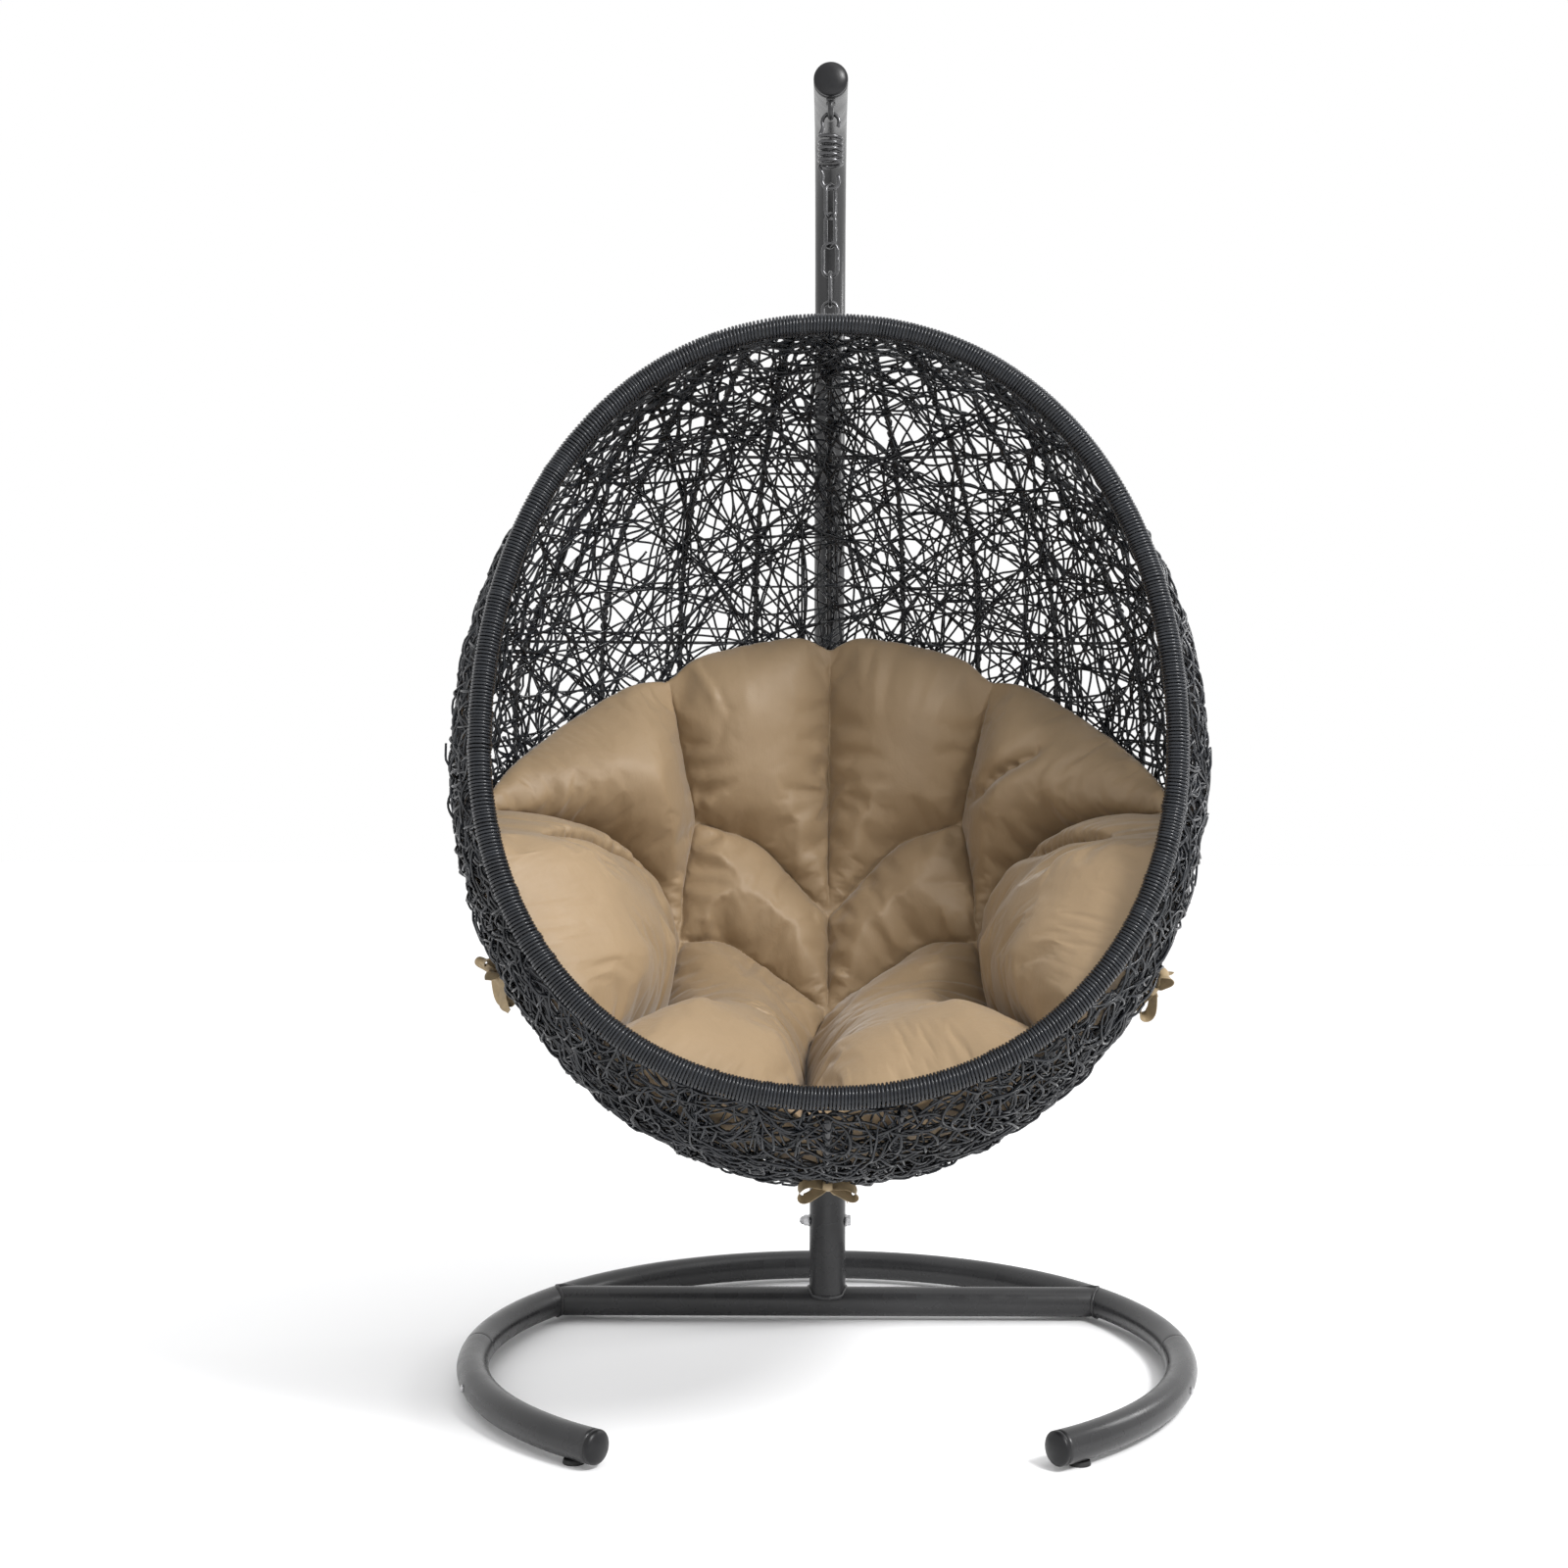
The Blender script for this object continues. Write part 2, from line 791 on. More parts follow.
# ---------------------------------------------------------------- the stand
@dataclass
class Stand:
    """The round base, the post in its socket, and the arm over the seat."""

    tube: float = 0.0240
    ring_radius: float = 0.541
    joint_angle: float = math.radians(2.0)
    mouth_angle: float = math.radians(35.8)
    joint_groove: float = 0.0007
    post: float = 0.0250
    socket: float = 0.0300
    socket_top: float = 0.330
    socket_wall: float = 0.0035
    post_joint: float = 1.05
    arm_height: float = 1.940
    arm_bend: float = 0.300
    bead: float = 0.0032
    cap_dome: float = 0.55
    foot_radius: float = 0.016
    foot_height: float = 0.0057
    foot_round: float = 0.0015
    plug_depth: float = 0.008
    seam_round: float = 0.0012

    def build(self) -> None:
        """Makes every piece of the stand."""
        self.make_ring()
        self.make_cross_bar()
        self.make_socket()
        self.make_post()
        self.make_arm()
        self.make_caps()
        self.make_feet()
        self.dress_hardware()

    @property
    def ring_middle(self) -> Array:
        """The middle of the base ring."""
        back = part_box("base_rear_arc")[1].y
        return np.array((0.0, back - self.tube - self.ring_radius, middle_of("base_rear_arc")[2]))

    @property
    def post_y(self) -> float:
        """Depth of the post and the cross bar."""
        return middle_of("post_socket")[1]

    @property
    def arm_tip_y(self) -> float:
        """Depth of the open end of the arm."""
        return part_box("arm_cap")[1].y - self.plug_depth

    def on_ring(self, angles: Array) -> Array:
        """Points of the ring's centre line, by the angle from +X towards +Y."""
        flat = np.stack((np.cos(angles), np.sin(angles), np.zeros(len(angles))), axis=1)
        return self.ring_middle + self.ring_radius * flat

    def eased(self, path: Array, radius: float, start: bool, end: bool) -> Array:
        """A tube's radius along its path, rounded over at its joint ends.

        Args:
            path: the tube's centre line.
            radius: its full radius.
            start: whether the first end is rounded over.
            end: whether the last end is.

        Returns:
            One radius per point.
        """
        distance = lengths(path)
        sizes = np.full(len(path), radius)
        if start:
            sizes -= self.seam_round * (1 - round_shoulder(distance / self.seam_round))
        if end:
            from_end = distance[-1] - distance
            sizes -= self.seam_round * (1 - round_shoulder(from_end / self.seam_round))
        return sizes

    def finely_ended(self, path: Array, start: bool, end: bool) -> Array:
        """A path with extra points near its joint ends, for their rounding."""
        distance = lengths(path)
        near = self.seam_round * np.array((0.0, 0.08, 0.3, 0.6, 1.0))
        places = [distance[(distance > 2 * near[-1]) & (distance < distance[-1] - 2 * near[-1])]]
        places.append(near if start else distance[:1])
        places.append(distance[-1] - near if end else distance[-1:])
        even = np.unique(np.concatenate(places))
        return read_at(even, distance, path)

    def make_ring(self) -> None:
        """The rear arc, and the two arms that push onto it."""
        gap = self.joint_groove / self.ring_radius
        start = self.joint_angle + gap / 2
        rear = self.on_ring(np.linspace(start, math.pi - self.joint_angle - gap / 2, 140))
        rear = self.finely_ended(rear, True, True)
        skin = swept(rear, self.eased(rear, self.tube, True, True), 40, UP)
        shown("ring_rear_arc", skin, Finishes.COATED_STEEL, "stand", "base_rear_arc")
        for side, name in SIDES:
            angles = np.linspace(self.joint_angle - gap / 2, self.mouth_angle - math.pi / 2, 90)
            arm = self.on_ring(angles)
            arm[:, 0] *= side
            arm = self.finely_ended(arm, True, False)
            skin = swept(arm, self.eased(arm, self.tube, True, False), 40, UP)
            shown(f"ring_arm_{name}", skin, Finishes.COATED_STEEL, "stand", f"base_arm_{name}")

    def make_cross_bar(self) -> None:
        """The bar across the ring, coped and welded to it at both ends."""
        y, z = self.post_y, self.ring_middle[2]
        back = y - self.ring_middle[1]
        rows = []
        turns = circle(48)
        ys, zs = self.tube * np.cos(turns), self.tube * np.sin(turns)
        reach = np.sqrt(np.maximum(self.tube**2 - zs**2, 0))
        end = np.sqrt((self.ring_radius - reach) ** 2 - (back + ys) ** 2) + 0.001
        for share in np.linspace(-1, 1, 9):
            rows.append(np.stack((share * end, y + ys, z + zs), axis=1))
        skin = Skin(np.concatenate(rows), grid_faces(len(rows), len(turns), False, True))
        shown("ring_cross_bar", skin, Finishes.COATED_STEEL, "stand", "cross_bar")
        for number, row in enumerate((rows[0], rows[-1]), start=1):
            bead = weld_bead(row, self.bead, True, number)
            shown(f"cross_bar_weld_{number}", bead, Finishes.WELD, "stand")

    def make_socket(self) -> None:
        """The socket that the post stands in, fitted over the cross bar and welded round."""
        y, z = self.post_y, self.ring_middle[2]
        turns = circle(64)
        xs, ys = np.cos(turns), np.sin(turns)
        saddle = np.sqrt(np.maximum(self.tube**2 - (self.socket * ys) ** 2, 0))
        foot = z + np.maximum(saddle, self.tube * 0.55)
        rim, inside = self.socket_top, self.socket - self.socket_wall
        steps = [(self.socket, share) for share in np.linspace(0, 1, 14)[:-1]]
        rows = [
            np.stack((r * xs, y + r * ys, foot + (rim - 0.001 - foot) * s), axis=1)
            for r, s in steps
        ]
        mouth = ((self.socket, 0.001), (self.socket - 0.001, 0.0), (inside + 0.0006, 0.0))
        for radius, drop in (*mouth, (inside, 0.0008), (inside, 0.02)):
            rows.append(np.stack((radius * xs, y + radius * ys, np.full(64, rim - drop)), axis=1))
        skin = Skin(np.concatenate(rows), grid_faces(len(rows), 64, False, True))
        shown("socket_tube", skin, Finishes.COATED_STEEL, "stand", "post_socket", crease=50)
        bead = weld_bead(rows[0] + (rows[0] - (0, y, 0)) * (1, 1, 0) * 0.02, self.bead, True, 7)
        shown("socket_weld", bead, Finishes.WELD, "stand")

    def make_post(self) -> None:
        """The lower half of the post."""
        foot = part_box("post_lower")[0].z
        top = self.post_joint - self.joint_groove
        path = np.linspace((0, self.post_y, foot), (0, self.post_y, top), 24)
        path = self.finely_ended(path, False, True)
        skin = swept(path, self.eased(path, self.post, False, True), 48, BACK)
        shown("post_tube", skin, Finishes.COATED_STEEL, "stand", "post_lower")

    def make_arm(self) -> None:
        """The upper half of the post, bent forward over the seat."""
        y, bend = self.post_y, self.arm_bend
        turns = np.linspace(0, np.pi / 2, 60)
        depth, height = y - bend * (1 - np.cos(turns)), self.arm_height - bend * (1 - np.sin(turns))
        curve = np.stack((turns * 0, depth, height), axis=1)
        upright = np.linspace((0, y, self.post_joint), curve[0], 20)[:-1]
        level = np.linspace(curve[-1], (0, self.arm_tip_y, self.arm_height), 16)[1:]
        path = self.finely_ended(np.concatenate((upright, curve, level)), True, False)
        skin = swept(path, self.eased(path, self.post, True, False), 48, RIGHT)
        shown("swing_arm_tube", skin, Finishes.COATED_STEEL, "stand", "swing_arm")

    def dome(self, radius: float) -> list[tuple[float, float]]:
        """The outside of a domed plug, from its stem to the top of its dome."""
        rise = radius * self.cap_dome
        lip = rise * 0.30
        turns = np.linspace(0, np.pi / 2, 16)
        face = [(radius * math.cos(t), lip + (rise - lip) * math.sin(t)) for t in turns]
        return [(radius * 0.90, -0.002), (radius * 0.985, 0.0002), (radius, 0.0012), *face]

    def make_caps(self) -> None:
        """The plug in the end of the arm and those in the two ends of the ring."""
        place = np.array((0.0, self.arm_tip_y, self.arm_height))
        skin = turned(self.dome(self.post), place, -BACK)
        shown("arm_end_plug", skin, Finishes.CAP_PLASTIC, "stand", "arm_cap")
        end = self.mouth_angle - math.pi / 2
        for side, name in SIDES:
            place = self.on_ring(np.array([end]))[0] * (side, 1, 1)
            way = np.array((side * math.sin(end), -math.cos(end), 0.0))
            skin = turned(self.dome(self.tube), place, way)
            shown(f"ring_end_plug_{name}", skin, Finishes.CAP_PLASTIC, "stand", f"base_cap_{name}")

    def make_feet(self) -> None:
        """The rubber pads under the ring."""
        top = self.foot_height + 0.001
        profile = [(0, 0), (self.foot_radius, 0), (self.foot_radius * 0.9, top), (0, top)]
        for number in range(1, 5):
            place = middle_of(f"foot_pad_{number}") * (1, 1, 0)
            skin = turned(rounded(profile, self.foot_round), place, UP)
            shown(f"foot_{number}", skin, Finishes.FOOT_RUBBER, "stand", f"foot_pad_{number}")

    def dress_hardware(self) -> None:
        """Finishes for the bolts, screws and inner sleeves."""
        for name in ("socket_bolt", "socket_cap_nut"):
            kept(name, Finishes.ZINC, 0.0005)
        for side in ("left", "right"):
            kept(f"socket_washer_{side}", Finishes.ZINC, 0.0002)
            kept(f"base_screw_{side}", Finishes.ZINC, 0.0003)
            kept(f"base_spigot_{side}", Finishes.ZINC)
        kept("post_spigot", Finishes.ZINC)


# ---------------------------------------------------------------- the hanging set
@dataclass
class Hanger:
    """The staple under the arm, the spring and the chain."""

    egg: Egg
    arm_underside: float = 1.915
    staple_rod: float = 0.0045
    staple_bend: float = 0.0140
    staple_drop: float = 0.0110
    staple_depth: float = 0.006
    staple_weld: float = 0.0026
    arm_tube: float = 0.025
    wire: float = 0.0030
    coil: float = 0.0170
    hook: float = 0.0127
    turns: int = 5
    hook_rise: float = 0.0210
    hook_mouth: float = math.radians(35)
    hook_sweep: float = math.radians(250)
    lower_hook_start: float = math.radians(145)
    hook_overlap: float = 0.0004
    wire_spacing: float = 0.0022
    link_wire: float = 0.00275
    link_half_width: float = 0.0106
    link_weld_length: float = 0.0022
    link_weld_rise: float = 0.10
    link_turns: tuple[float, ...] = (50.0, -50.0, 0.0, 90.0, 0.0)

    def build(self) -> None:
        """Makes the staple, the spring and the links."""
        self.make_staple()
        self.make_spring()
        for number, turn in enumerate(self.link_turns, start=1):
            self.make_link(number, math.radians(turn))

    def make_staple(self) -> None:
        """A bent rod welded under the arm."""
        y, r = self.egg.hang_y, self.staple_bend
        turns = np.linspace(0, np.pi, 40)
        low = self.arm_underside - self.staple_drop
        bend = np.stack((turns * 0, y - r * np.cos(turns), low - r * np.sin(turns)), axis=1)
        top = self.arm_underside + self.staple_depth
        path = np.concatenate(([(0, y - r, top)], bend, [(0, y + r, top)]))
        skin = swept(path, self.staple_rod, 24, RIGHT)
        shown("staple", skin, Finishes.COATED_STEEL, "stand", "hanger_staple")
        beads = []
        around = circle(28)
        xs, ys = self.staple_rod * np.cos(around), self.staple_rod * np.sin(around)
        zs = self.arm_underside + 0.5 * xs**2 / self.arm_tube - 0.0005
        for side in (-1, 1):
            ring = np.stack((xs, y + side * r + ys, zs), axis=1)
            beads.append(weld_bead(ring, self.staple_weld, True, 11 + side))
        shown("staple_welds", Skin.joined(beads), Finishes.WELD, "stand")

    def hook_path(self, middle: Array, start: float) -> Array:
        """A hook's wire, as an open ring in the plane that faces the front."""
        turns = start + np.linspace(0, self.hook_sweep, 44)
        ring = np.stack((np.cos(turns), turns * 0, np.sin(turns)), axis=1)
        return middle + self.hook * ring

    def make_spring(self) -> None:
        """Five open turns between two hooks."""
        low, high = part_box("spring")
        y = self.egg.hang_y
        top = np.array((0.0, y, high.z - self.wire + self.hook_overlap - self.hook))
        bottom = np.array((0.0, y, low.z + self.wire - self.hook_overlap + self.hook))
        first = top[2] - self.hook_rise
        last = bottom[2] + self.hook_rise
        upper = self.hook_path(top, -self.hook_mouth)
        lower = self.hook_path(bottom, self.lower_hook_start)
        turns = np.pi + np.linspace(0, 2 * np.pi * self.turns, 40 * self.turns)
        xs, ys = self.coil * np.cos(turns), y + self.coil * np.sin(turns)
        coil = np.stack((xs, ys, np.linspace(first, last, len(turns))), axis=1)
        path = smoothed(resampled(np.concatenate((upper, coil, lower)), self.wire_spacing), 5)
        skin = swept(path, self.wire, 16)
        piece = shown("spring_wire", skin, Finishes.HANGER_STEEL, "", "spring")
        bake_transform(piece)

    def make_link(self, number: int, turn: float) -> None:
        """An oval chain link with its weld on one side.

        Args:
            number: which link, from the top.
            turn: how the link is turned about the vertical.
        """
        low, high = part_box(f"chain_link_{number}")
        middle = np.array((0.0, self.egg.hang_y, (low.z + high.z) / 2))
        across = np.array((math.cos(turn), math.sin(turn), 0.0))
        straight = (high.z - low.z) / 2 - self.link_wire - self.link_half_width
        around = 2 * np.pi * (np.arange(72) + 0.5) / 72
        rise = self.link_half_width * np.sin(around) + np.sign(np.sin(around)) * straight
        path = middle + across * (self.link_half_width * np.cos(around))[:, None]
        path = path + UP * rise[:, None]
        path = loop_resampled(path, 96)
        square = np.cross(across, UP)
        height, on_side = (path - middle) @ UP, (path - middle) @ across > 0
        weld = np.exp(-((height / self.link_weld_length) ** 2)) * on_side
        size = self.link_wire * (1 + self.link_weld_rise * weld)
        skin = swept(path, size, 16, square, closed=True)
        name = f"link_{number}"
        shown(name, skin, Finishes.HANGER_STEEL, name, f"chain_{name}")


def smoothed(path: Array, passes: int) -> Array:
    """A path with its corners eased, its ends kept."""
    path = path.copy()
    for _ in range(passes):
        path[1:-1] = (path[:-2] + 2 * path[1:-1] + path[2:]) / 4
    return path


def loop_resampled(path: Array, count: int) -> Array:
    """A closed path's points at an even spacing."""
    ring = looped(path)
    distance = lengths(ring)
    even = np.linspace(0, distance[-1], count, endpoint=False)
    return read_at(even, distance, ring)


# ---------------------------------------------------------------- the basket
@dataclass(frozen=True)
class Strands:
    """How one kind of strand runs over the bowl.

    Attributes:
        count: number of strands.
        steps: number of steps in each.
        pace: length of a step.
        bend: how strongly they curve, in turns per metre.
        reach: how far behind the rim they go.
        lifts: lowest and highest distance outside the egg.
        ceiling: height above the middle at which they are cut off.
    """

    count: int
    steps: int
    pace: float
    bend: float
    reach: float
    lifts: tuple[float, float]
    ceiling: float


@dataclass
class Basket:
    """The wrapped rim, the rods behind it, and the strands woven over them."""

    egg: Egg
    rim_tube: float = 0.0125
    wrap_strand: float = 0.00205
    wrap_pitch: float = 0.0048
    edge_cord: float = 0.0016
    rib: float = 0.0035
    spine: float = 0.0050
    rib_spacing: float = 0.117
    ribs_each_side: int = 4
    rib_closing: float = 0.50
    rod_lift: float = 0.0005
    hoop: float = 0.0025
    hoop_heights: tuple[float, ...] = (0.44, 0.16, -0.16, -0.44)
    hoop_past_rib: float = math.radians(2.5)
    hoop_lift: float = 0.0144
    strand: float = 0.00185
    binder: float = 0.0013
    binder_pitch: tuple[float, float] = (0.020, 0.027)
    proud_winds: int = 16
    loop_legs: float = 0.012
    wave_lengths: tuple[float, float] = (0.05, 0.16)
    pieces: int = 6
    merge_depth: float = 0.11
    lift_by_height: float = 0.0045
    open_weave: Strands = Strands(138, 620, 0.0088, 2.6, 2.0, (-0.0055, 0.0085), 1.0)
    loops: Strands = Strands(38, 420, 0.0058, 16.0, 0.30, (0.0010, 0.0135), 0.02)
    seed: int = 21

    def build(self) -> None:
        """Makes the rim, the rods and the weave."""
        kept("rim_hoop", Finishes.COATED_STEEL)
        self.make_wrap()
        self.make_ribs()
        self.make_hoops()
        self.make_hang_loop()
        self.make_weave()

    def make_wrap(self) -> None:
        """A strand wound closely round the rim, and a cord laid along its inner edge."""
        random = np.random.default_rng(self.seed)
        rim = self.egg.even_rim(2000)
        length = lengths(looped(rim))[-1]
        winds = int(round(length / self.wrap_pitch))
        per_wind = 13
        count = winds * per_wind
        jitter = np.cumsum(random.standard_normal(winds) * 0.10)
        jitter -= np.linspace(0, jitter[-1], winds)
        wound = np.arange(count) / per_wind
        place = (wound + np.interp(wound, np.arange(winds), jitter, period=winds)) / winds
        ring = looped(rim)
        shares = np.linspace(0, 1, len(ring))
        centre = read_at(place % 1.0, shares, ring)
        ways = along(centre, True)
        outward = unit(np.cross(ways, self.egg.rim_back))
        proud = np.zeros(winds)
        for wind in random.choice(winds, self.proud_winds, replace=False):
            proud[wind : wind + 2] += random.uniform(0.0006, 0.0012)
        proud = proud + random.standard_normal(winds) * 0.00008
        lift = np.interp(wound, np.arange(winds), proud, period=winds)
        around = 2 * np.pi * wound
        radial = np.cos(around)[:, None] * outward + np.sin(around)[:, None] * self.egg.rim_back
        path = centre + radial * (self.rim_tube + self.wrap_strand * 0.85 + lift)[:, None]
        skin = swept(path, self.wrap_strand, 7, radial, closed=True)
        tones = random.uniform(0.35, 0.85, winds)
        skin.tone = np.repeat(np.interp(wound, np.arange(winds), tones, period=winds), 7)
        shown("rim_winding", skin, Finishes.STRAND, "seat", "rim_wrap")
        inner = unit(-0.75 * outward_of(rim, self.egg) + 0.66 * self.egg.rim_back)
        cord = rim + inner * (self.rim_tube + 2 * self.wrap_strand + self.edge_cord * 0.7)
        skin = swept(cord, self.edge_cord, 8, self.egg.rim_back, closed=True, tone=0.9)
        shown("rim_edge_cord", skin, Finishes.STRAND, "seat")

    def rib_ways(self, number: int, angles: Array) -> Array:
        """Directions of a rib's points, by their angle above level at the back."""
        closing = 1 - self.rib_closing * np.sin(angles) ** 4
        across = number * self.rib_spacing / self.egg.half_width * closing
        rest = np.sqrt(1 - across**2)
        return np.stack((across, rest * np.cos(angles), rest * np.sin(angles)), axis=1)

    def rib_path(self, number: int, lift: float, count: int) -> Array:
        """A rib's line from the top of the rim round the back to its bottom.

        Args:
            number: the rib's place from the middle, negative to the left.
            lift: how far outside the egg the line runs.
            count: number of points.

        Returns:
            The points.
        """
        angles = np.linspace(math.radians(130), math.radians(-150), 1400)
        points = self.egg.surface(self.rib_ways(number, angles), lift)
        inside = self.egg.behind_rim(points) > self.rim_tube
        return resampled(points[inside], lengths(points[inside])[-1] / count)

    def make_ribs(self) -> None:
        """The upright rods, each with a strand bound round it."""
        random = np.random.default_rng(self.seed + 1)
        binders = []
        for number in range(-self.ribs_each_side, self.ribs_each_side + 1):
            radius = self.rib if number else self.spine
            path = self.rib_path(number, radius + self.rod_lift, 110)
            name = f"rib_{number + self.ribs_each_side + 1}" if number else "spine_rib"
            skin = swept(path, radius, 12, RIGHT)
            shown(name.replace("_", "_rod_"), skin, Finishes.COATED_STEEL, "seat", name)
            binders += self.bound(path, radius, random)
        shown("rib_binders", Skin.joined(binders), Finishes.STRAND, "seat")

    def bound(self, path: Array, radius: float, random: np.random.Generator) -> list[Skin]:
        """Strands twisted round a rod, crossing each other.

        Args:
            path: the rod's centre line.
            radius: the rod's radius.
            random: where the unevenness comes from.

        Returns:
            One skin for each strand.
        """
        made = []
        fine = resampled(path, 0.0035)
        ways = along(fine)
        side = unit(np.cross(ways, self.egg.normal(self.egg.ways_to(fine))))
        out = np.cross(side, ways)
        distance = lengths(fine)
        for hand in (1, -1):
            drift = np.cumsum(random.normal(0, 0.9, 24))
            drift = np.interp(distance, np.linspace(0, distance[-1], 24), drift)
            around = hand * 2 * np.pi * distance / random.uniform(*self.binder_pitch) + drift
            reach = radius + self.binder * 0.9
            radial = np.cos(around)[:, None] * side + np.sin(around)[:, None] * out
            tone = random.uniform(0.2, 0.8)
            made.append(swept(fine + reach * radial, self.binder, 6, side, tone=tone))
        return made

    def hoop_reach(self, rise: float) -> float:
        """The angle round the back at which a hoop has just passed the outermost rib."""
        angles = np.linspace(-math.pi / 2, math.pi / 2, 2000)
        ways = self.rib_ways(self.ribs_each_side, angles)
        way = ways[np.argmin(np.abs(ways[:, 2] - rise))]
        return math.atan2(way[0], way[1]) + self.hoop_past_rib

    def make_hoops(self) -> None:
        """The level wires round the outside of the ribs."""
        for number, height in enumerate(self.hoop_heights, start=1):
            rise = height / (self.egg.upper if height > 0 else self.egg.lower)
            level = math.sqrt(1 - rise * rise)
            angles = np.linspace(-1, 1, 90) * self.hoop_reach(rise)
            xs, ys = level * np.sin(angles), level * np.cos(angles)
            ways = np.stack((xs, ys, np.full(90, rise)), axis=1)
            path = self.egg.surface(ways, self.hoop_lift)
            skin = swept(path, self.hoop, 10, UP)
            shown(f"hoop_wire_{number}", skin, Finishes.COATED_STEEL, "seat", f"hoop_{number}")

    def make_hang_loop(self) -> None:
        """The bent rod on the spine that the last link goes round."""
        low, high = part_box("hang_loop")
        rod = (high.x - low.x) / 2 + 0.0003
        r = (high.y - low.y) / 2 - rod
        turns = np.linspace(0, np.pi, 30)
        ys, zs = self.egg.hang_y - r * np.cos(turns), high.z - rod - r + r * np.sin(turns)
        arch = np.stack((turns * 0, ys, zs), axis=1)
        legs = UP * self.loop_legs
        path = np.concatenate(([arch[0] - legs], arch, [arch[-1] - legs]))
        skin = swept(path, rod, 16, RIGHT)
        shown("hang_loop_rod", skin, Finishes.COATED_STEEL, "seat", "hang_loop")

    def wander(self, kind: Strands, seed: int) -> list[Skin]:
        """Strands that wander over the bowl and turn back at the rim.

        Args:
            kind: how many they are and how they run.
            seed: where they start and turn.

        Returns:
            One skin per strand.
        """
        count, steps, pace, bend, reach = kind.count, kind.steps, kind.pace, kind.bend, kind.reach
        egg = self.egg
        random = np.random.default_rng(seed)
        turns = random.uniform(0, 2 * np.pi, count)
        start = egg.ways_to(egg.rim(turns))
        pole = egg.spread(np.zeros((1, 2)))[0]
        share = random.uniform(0.05, min(1.0, reach / 0.5), (count, 1)) ** 0.7
        ways = unit(start * (1 - share) + pole * share)
        heading = random.standard_normal((count, 3)) * (1.4, 1.0, 1.0)
        curve = random.normal(0, bend, count)
        paths, normals = np.empty((steps, count, 3)), np.empty((steps, count, 3))
        for step in range(steps):
            points, normal = egg.surface(ways), egg.normal(ways)
            paths[step], normals[step] = points, normal
            heading = unit(heading - np.sum(heading * normal, axis=1, keepdims=True) * normal)
            curve = curve * 0.965 + random.normal(0, bend * 0.26, count)
            side = np.cross(normal, heading)
            heading = unit(heading + side * (curve * pace)[:, None])
            ahead = points + heading * pace
            depth = egg.behind_rim(ahead)
            inward = np.sum(egg.rim_back * normal, axis=1, keepdims=True) * normal
            outward = unit(-(egg.rim_back - inward))
            leaving = np.sum(heading * outward, axis=1)
            at_rim = (depth < 0.004) & (leaving > 0)
            heading[at_rim] -= 2 * leaving[at_rim, None] * outward[at_rim]
            too_deep = (depth > reach) & (leaving < 0)
            heading[too_deep] += outward[too_deep] * 0.35
            ways = egg.ways_to(points + unit(heading) * pace)
        distance = np.arange(steps) * pace
        low, high = kind.lifts
        settle = self.settled(paths)
        skins = []
        for i in range(count):
            wave = sum(
                np.sin(
                    2 * np.pi * distance / random.uniform(*self.wave_lengths)
                    + random.uniform(0, 2 * np.pi)
                )
                for _ in range(3)
            )
            lift = (low + high) / 2 + (high - low) / 2 * np.clip(wave / 2.2, -1, 1) + settle[:, i]
            path = smoothed(paths[:, i], 2) + normals[:, i] * lift[:, None]
            low_enough = np.flatnonzero(paths[:, i, 2] < egg.middle[2] + kind.ceiling)
            for run in np.split(low_enough, np.flatnonzero(np.diff(low_enough) > 1) + 1):
                if len(run) > 25:
                    tone = random.uniform(0.1, 0.9)
                    skins.append(swept(path[run], self.strand, 5, normals[run, i], tone=tone))
        return skins

    def settled(self, points: Array) -> Array:
        """How far the weave is moved outward so that it meets the rim and sags a little below.

        Args:
            points: points of the egg, in the last axis.

        Returns:
            The distance outward at each point.
        """
        egg = self.egg
        flat = points.reshape(-1, 3)
        rim = egg.even_rim(360)
        offset = rim - egg.middle
        level = np.linalg.norm(offset / egg.half_sizes(offset), axis=1)
        gap = (1 - 1 / level) * np.linalg.norm(offset, axis=1)
        way = unit(flat - egg.middle)
        closest = np.argmax(way @ unit(offset).T, axis=1)
        near = 1 - smooth_step(egg.behind_rim(flat) / self.merge_depth)
        height = np.clip((egg.middle[2] - flat[:, 2]) / egg.lower, -1, 1)
        return (gap[closest] * near + self.lift_by_height * height).reshape(points.shape[:-1])

    def make_weave(self) -> None:
        """The open weave all over, and looser loops thrown over the lower half."""
        strands = self.wander(self.open_weave, self.seed + 2)
        strands += self.wander(self.loops, self.seed + 3)
        for number in range(self.pieces):
            skin = Skin.joined(strands[number :: self.pieces])
            nodes = ("woven_shell",) if number == 0 else ()
            shown(f"woven_strands_{number + 1}", skin, Finishes.STRAND, "seat", *nodes)


def outward_of(rim: Array, egg: Egg) -> Array:
    """The outward direction in the rim's plane at each of its points."""
    return unit(np.cross(along(rim, True), egg.rim_back))


